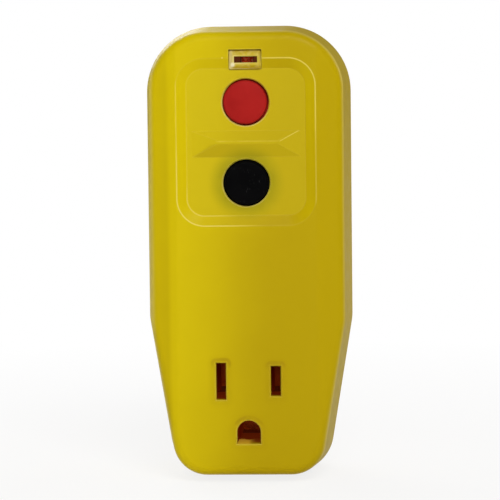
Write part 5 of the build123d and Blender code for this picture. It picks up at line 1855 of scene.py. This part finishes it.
@dataclass
class Transformers(Assembly):
    """The two ring transformers in their cradle, with the wires that pass through them."""

    wire: float = 0.55 * MM
    turns: int = 36
    start: float = 120.0
    arc: float = 300.0
    core_bore: float = 4.2 * MM
    clearance: float = 0.02 * MM
    sleeve_radius: float = 1.08 * MM
    sleeve_sides: int = 24
    # The line wire's corners and the radii of its bends, in millimetres
    route: tuple[Point, ...] = (
        (6.35, -8.6, 3.18), (6.35, -8.6, 8.675), (1.35, -14.0, 14.5), (1.35, -14.0, 30.2),
        (9.5, -12.0, 34.5), (13.0, -10.0, 38.5), (13.0, -10.0, 42.19))
    bends: tuple[float, ...] = (2.5, 2.5, 2.5, 2.0, 1.6)

    def build(self) -> None:
        """Dresses the cradle and rings, winds both rings and makes the wires through them."""
        self.dress(NYLON, "transformer_cradle")
        self.dress(FERRITE, "sense_core", "neutral_core")
        self.lay("line", 1, BLACK_WIRE)
        self.lay("neutral", -1, WHITE_WIRE)
        for ring in ("sense", "neutral"):
            self.wind(ring)

    def lay(self, name: str, side: int, finish: Finish) -> None:
        """Makes one insulated wire: a circle carried along its bent route.

        Args:
            name: The wire's name, line or neutral.
            side: 1 for the route as it is, -1 for its mirror image in x.
            finish: The insulation's finish.
        """
        corners = np.array(self.route) * (side, 1, 1) * MM
        path = bent(corners, tuple(radius * MM for radius in self.bends))
        surface = along(path, (0.0, 1.0, 0.0), circle(self.sleeve_radius, self.sleeve_sides))
        self.add(make_piece(f"{name}_wire", surface), finish, "housing", f"{name}_conductor")

    def wind(self, ring: str) -> None:
        """Winds one ring, from its core's box.

        Args:
            ring: The ring's name, sense or neutral.
        """
        core = Extent.of(f"{ring}_core")
        outer = core.size[0] / 2
        sizes = (outer - self.core_bore, core.size[2])
        width, height = ((size + self.wire) / 2 + self.clearance for size in sizes)
        middle = (outer + self.core_bore) / 2
        surface = Wound.ring(middle, (width, height), self.turns, self.start, self.arc, self.wire)
        surface.points = surface.points + core.middle
        self.add(make_piece(f"{ring}_ring_winding", surface), ENAMEL, "housing", f"{ring}_winding")


@dataclass
class Plug(Assembly):
    """The blades and the ground pin, with the holder that locks them in the back."""

    def build(self) -> None:
        """Dresses the plug."""
        self.dress(BLADE, "line_blade", "neutral_blade", "ground_pin")
        self.dress(THERMOSET, "blade_holder")


@dataclass
class Outlet(Assembly):
    """The outlet's contacts on their holder."""

    def build(self) -> None:
        """Dresses the outlet."""
        self.dress(BRONZE, "line_socket_contact", "neutral_socket_contact", "ground_socket_contact")
        self.dress(THERMOSET, "socket_holder")


@dataclass
class CircuitBoard(Assembly):
    """The board and the components on it."""

    def build(self) -> None:
        """Dresses the board and its components."""
        self.dress(BOARD, "circuit_board")
        self.dress(VARISTOR, "varistor")
        self.dress(THYRISTOR, "trigger_scr")
        self.dress(CHIP, "controller_chip")
        self.dress(DIODE, "rectifier_diodes")
        self.dress(SLEEVE, "filter_capacitor")
        self.dress(CERAMIC, "ceramic_capacitors")
        self.dress(SMALL_RESISTOR, "signal_resistors")
        self.dress(TEST_RESISTOR, "test_resistor")


# Studio


@dataclass(frozen=True)
class Lamp:
    """One soft square lamp, aimed at a point."""

    name: str
    place: Point
    size: float
    power: float
    aim: Point = (0.0, -0.03, 0.03)

    def build(self) -> None:
        """Adds the lamp, unseen by the camera itself."""
        data = bpy.data.lights.new(self.name, "AREA")
        data.shape = "SQUARE"
        data.size = self.size
        data.energy = self.power
        lamp = bpy.data.objects.new(self.name, data)
        lamp.location = self.place
        sight = Vector(self.aim) - Vector(self.place)
        lamp.rotation_euler = sight.to_track_quat("-Z", "Y").to_euler()
        lamp.visible_camera = False
        bpy.context.scene.collection.objects.link(lamp)


@dataclass
class Studio:
    """A white room with a pale floor, soft lamps and the photograph's camera."""

    camera_place: Point = (23.28 * MM, -534 * MM, 59.54 * MM)
    yaw: float = math.radians(2.585)
    pitch: float = math.radians(-3.319)
    roll: float = math.radians(-0.633)
    lens: float = 156.31
    sensor: float = 36.0
    nearest_seen: float = 0.01
    fill_colour: Colour = (1.0, 0.93, 0.84, 1.0)
    fill_strength: float = 0.21
    # The reflected room: from where to where along each axis it changes, and its two levels
    room_x: tuple[float, ...] = (-0.15, 0.1, 0.3, 0.38)
    room_y: tuple[float, ...] = (-0.1, 0.8, 0.02, 0.46)
    room_z: tuple[float, ...] = (-0.2, 0.1, 0.5, 1.1)
    floor_radius: float = 4.0
    floor_sides: int = 64
    floor_colour: Colour = (0.92, 0.92, 0.92, 1.0)
    shadow_reach: Pair = (0.07, 0.3)
    shadow_share: float = 0.18
    mirrored_floor: float = 0.62
    lamps: tuple[Lamp, ...] = (
        Lamp("key", (0.16, -0.7, 0.52), 0.34, 4.0),
        Lamp("fill", (-0.1, -0.85, 0.1), 0.6, 0.7),
        Lamp("back", (-0.34, 0.75, 0.5), 0.6, 3.7),
        Lamp("left", (-0.75, 0.35, 0.3), 0.4, 1.2),
        Lamp("right", (0.75, 0.4, 0.3), 0.4, 1.7),
    )

    def build(self, floor_height: float) -> None:
        """Sets the view transform and adds the camera, the lamps, the world and the floor.

        Args:
            floor_height: The floor's height, at the object's foot.
        """
        bpy.context.scene.view_settings.view_transform = "Standard"
        self.add_camera()
        for lamp in self.lamps:
            lamp.build()
        self.add_world()
        self.add_floor(floor_height)

    def add_camera(self) -> None:
        """The camera looks along +Y, turned by yaw and pitch and rolled about its line of sight."""
        ahead = Vector((-math.sin(self.yaw) * math.cos(self.pitch),
                        math.cos(self.yaw) * math.cos(self.pitch), math.sin(self.pitch)))
        level = Vector((math.cos(self.yaw), math.sin(self.yaw), 0))
        upright = level.cross(ahead)
        right = math.cos(self.roll) * level + math.sin(self.roll) * upright
        up = math.cos(self.roll) * upright - math.sin(self.roll) * level
        data = bpy.data.cameras.new("camera")
        data.lens = self.lens
        data.sensor_width = self.sensor
        data.clip_start = self.nearest_seen
        camera = bpy.data.objects.new("camera", data)
        turn = Matrix((right, up, -ahead)).transposed().to_4x4()
        camera.matrix_world = Matrix.Translation(self.camera_place) @ turn
        bpy.context.scene.collection.objects.link(camera)
        bpy.context.scene.camera = camera

    def add_world(self) -> None:
        """White behind the object, a soft warm fill on it, and a dimmer room in its reflections."""
        world = bpy.data.worlds.new("studio")
        bpy.context.scene.world = world
        world.use_nodes = True
        tree = ShaderTree(world.node_tree)
        rays = tree.node("ShaderNodeLightPath").outputs
        direction = tree.node("ShaderNodeTexCoord").outputs["Generated"]
        x, y, z = tree.node("ShaderNodeSeparateXYZ", Vector=direction).outputs
        room = tree.product(
            tree.ramp(y, *self.room_y), tree.ramp(x, *self.room_x), tree.ramp(z, *self.room_z))
        fill = tree.node("ShaderNodeBackground", Color=self.fill_colour, Strength=self.fill_strength)
        mirrored = tree.node("ShaderNodeBackground", Color=WHITE, Strength=room)
        seen = tree.node("ShaderNodeBackground", Color=WHITE)
        around = tree.mix_shaders(rays["Is Glossy Ray"], fill.outputs[0], mirrored.outputs[0])
        direct = tree.largest(rays["Is Camera Ray"], rays["Is Transmission Ray"])
        whole = tree.mix_shaders(direct, around, seen.outputs[0])
        tree.node("ShaderNodeOutputWorld", Surface=whole)

    def add_floor(self, height: float) -> None:
        """Adds a round floor at the object's foot.

        Args:
            height: The floor's height.
        """
        sides = self.floor_sides
        ring = circle(self.floor_radius, sides)
        grid = np.stack([np.zeros(sides), ring[:, 0], ring[:, 1]], -1)
        points = np.concatenate([grid, np.zeros((1, 3))]) @ Direction.UPWARDS.basis() + (0, 0, height)
        floor = make_piece("floor", Surface(points, [fan(np.arange(sides), sides)]))
        floor.data.materials.append(self.floor_material())
        floor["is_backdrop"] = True

    def floor_material(self) -> bpy.types.Material:
        """Pale and matt under the object's shadow, fading into the white behind it.

        Returns:
            The material.
        """
        material = bpy.data.materials.new("pale_floor")
        material.use_nodes = True
        tree = ShaderTree(material.node_tree)
        rays = tree.node("ShaderNodeLightPath").outputs
        away = tree.node("ShaderNodeVectorMath", {"operation": "LENGTH"})
        tree.feed(away.inputs[0], tree.node("ShaderNodeTexCoord").outputs["Object"])
        fade = tree.ramp(
            away.outputs["Value"], *self.shadow_reach, 1 - self.shadow_share, 1.0, "LINEAR")
        seen = tree.product(rays["Is Camera Ray"], fade)
        mirrored = tree.largest(rays["Is Glossy Ray"], rays["Is Transmission Ray"])
        level = tree.ramp(rays["Is Camera Ray"], 0.0, 1.0, self.mirrored_floor, 1.0, "LINEAR")
        matt = tree.node("ShaderNodeBsdfDiffuse", Color=self.floor_colour)
        white = tree.node("ShaderNodeEmission", Strength=level)
        mixed = tree.mix_shaders(tree.largest(seen, mirrored), matt.outputs[0], white.outputs[0])
        tree.node("ShaderNodeOutputMaterial", Surface=mixed)
        return material


def main() -> None:
    """Loads the frame, then builds the studio and each sub-assembly in order."""
    logging.basicConfig(level=logging.INFO, format="%(message)s")
    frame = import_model()
    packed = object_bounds()
    nodes = frame["nodes"]
    Studio().build(packed[0][2])
    assemblies = [
        Case(nodes),
        PushButton(nodes, "reset_button", "reset_body", RED, stem_radius=2.5 * MM, bore=0.78 * MM,
                   sideways=-0.13 * MM),
        PushButton(nodes, "test_button", "test_body", BLACK, stem_radius=2.0 * MM),
        Indicator(nodes),
        Mechanism(nodes),
        TripSolenoid(nodes),
        Transformers(nodes),
        Plug(nodes),
        Outlet(nodes),
        CircuitBoard(nodes),
    ]
    for assembly in assemblies:
        assembly.build()


if __name__ == "__main__":
    main()
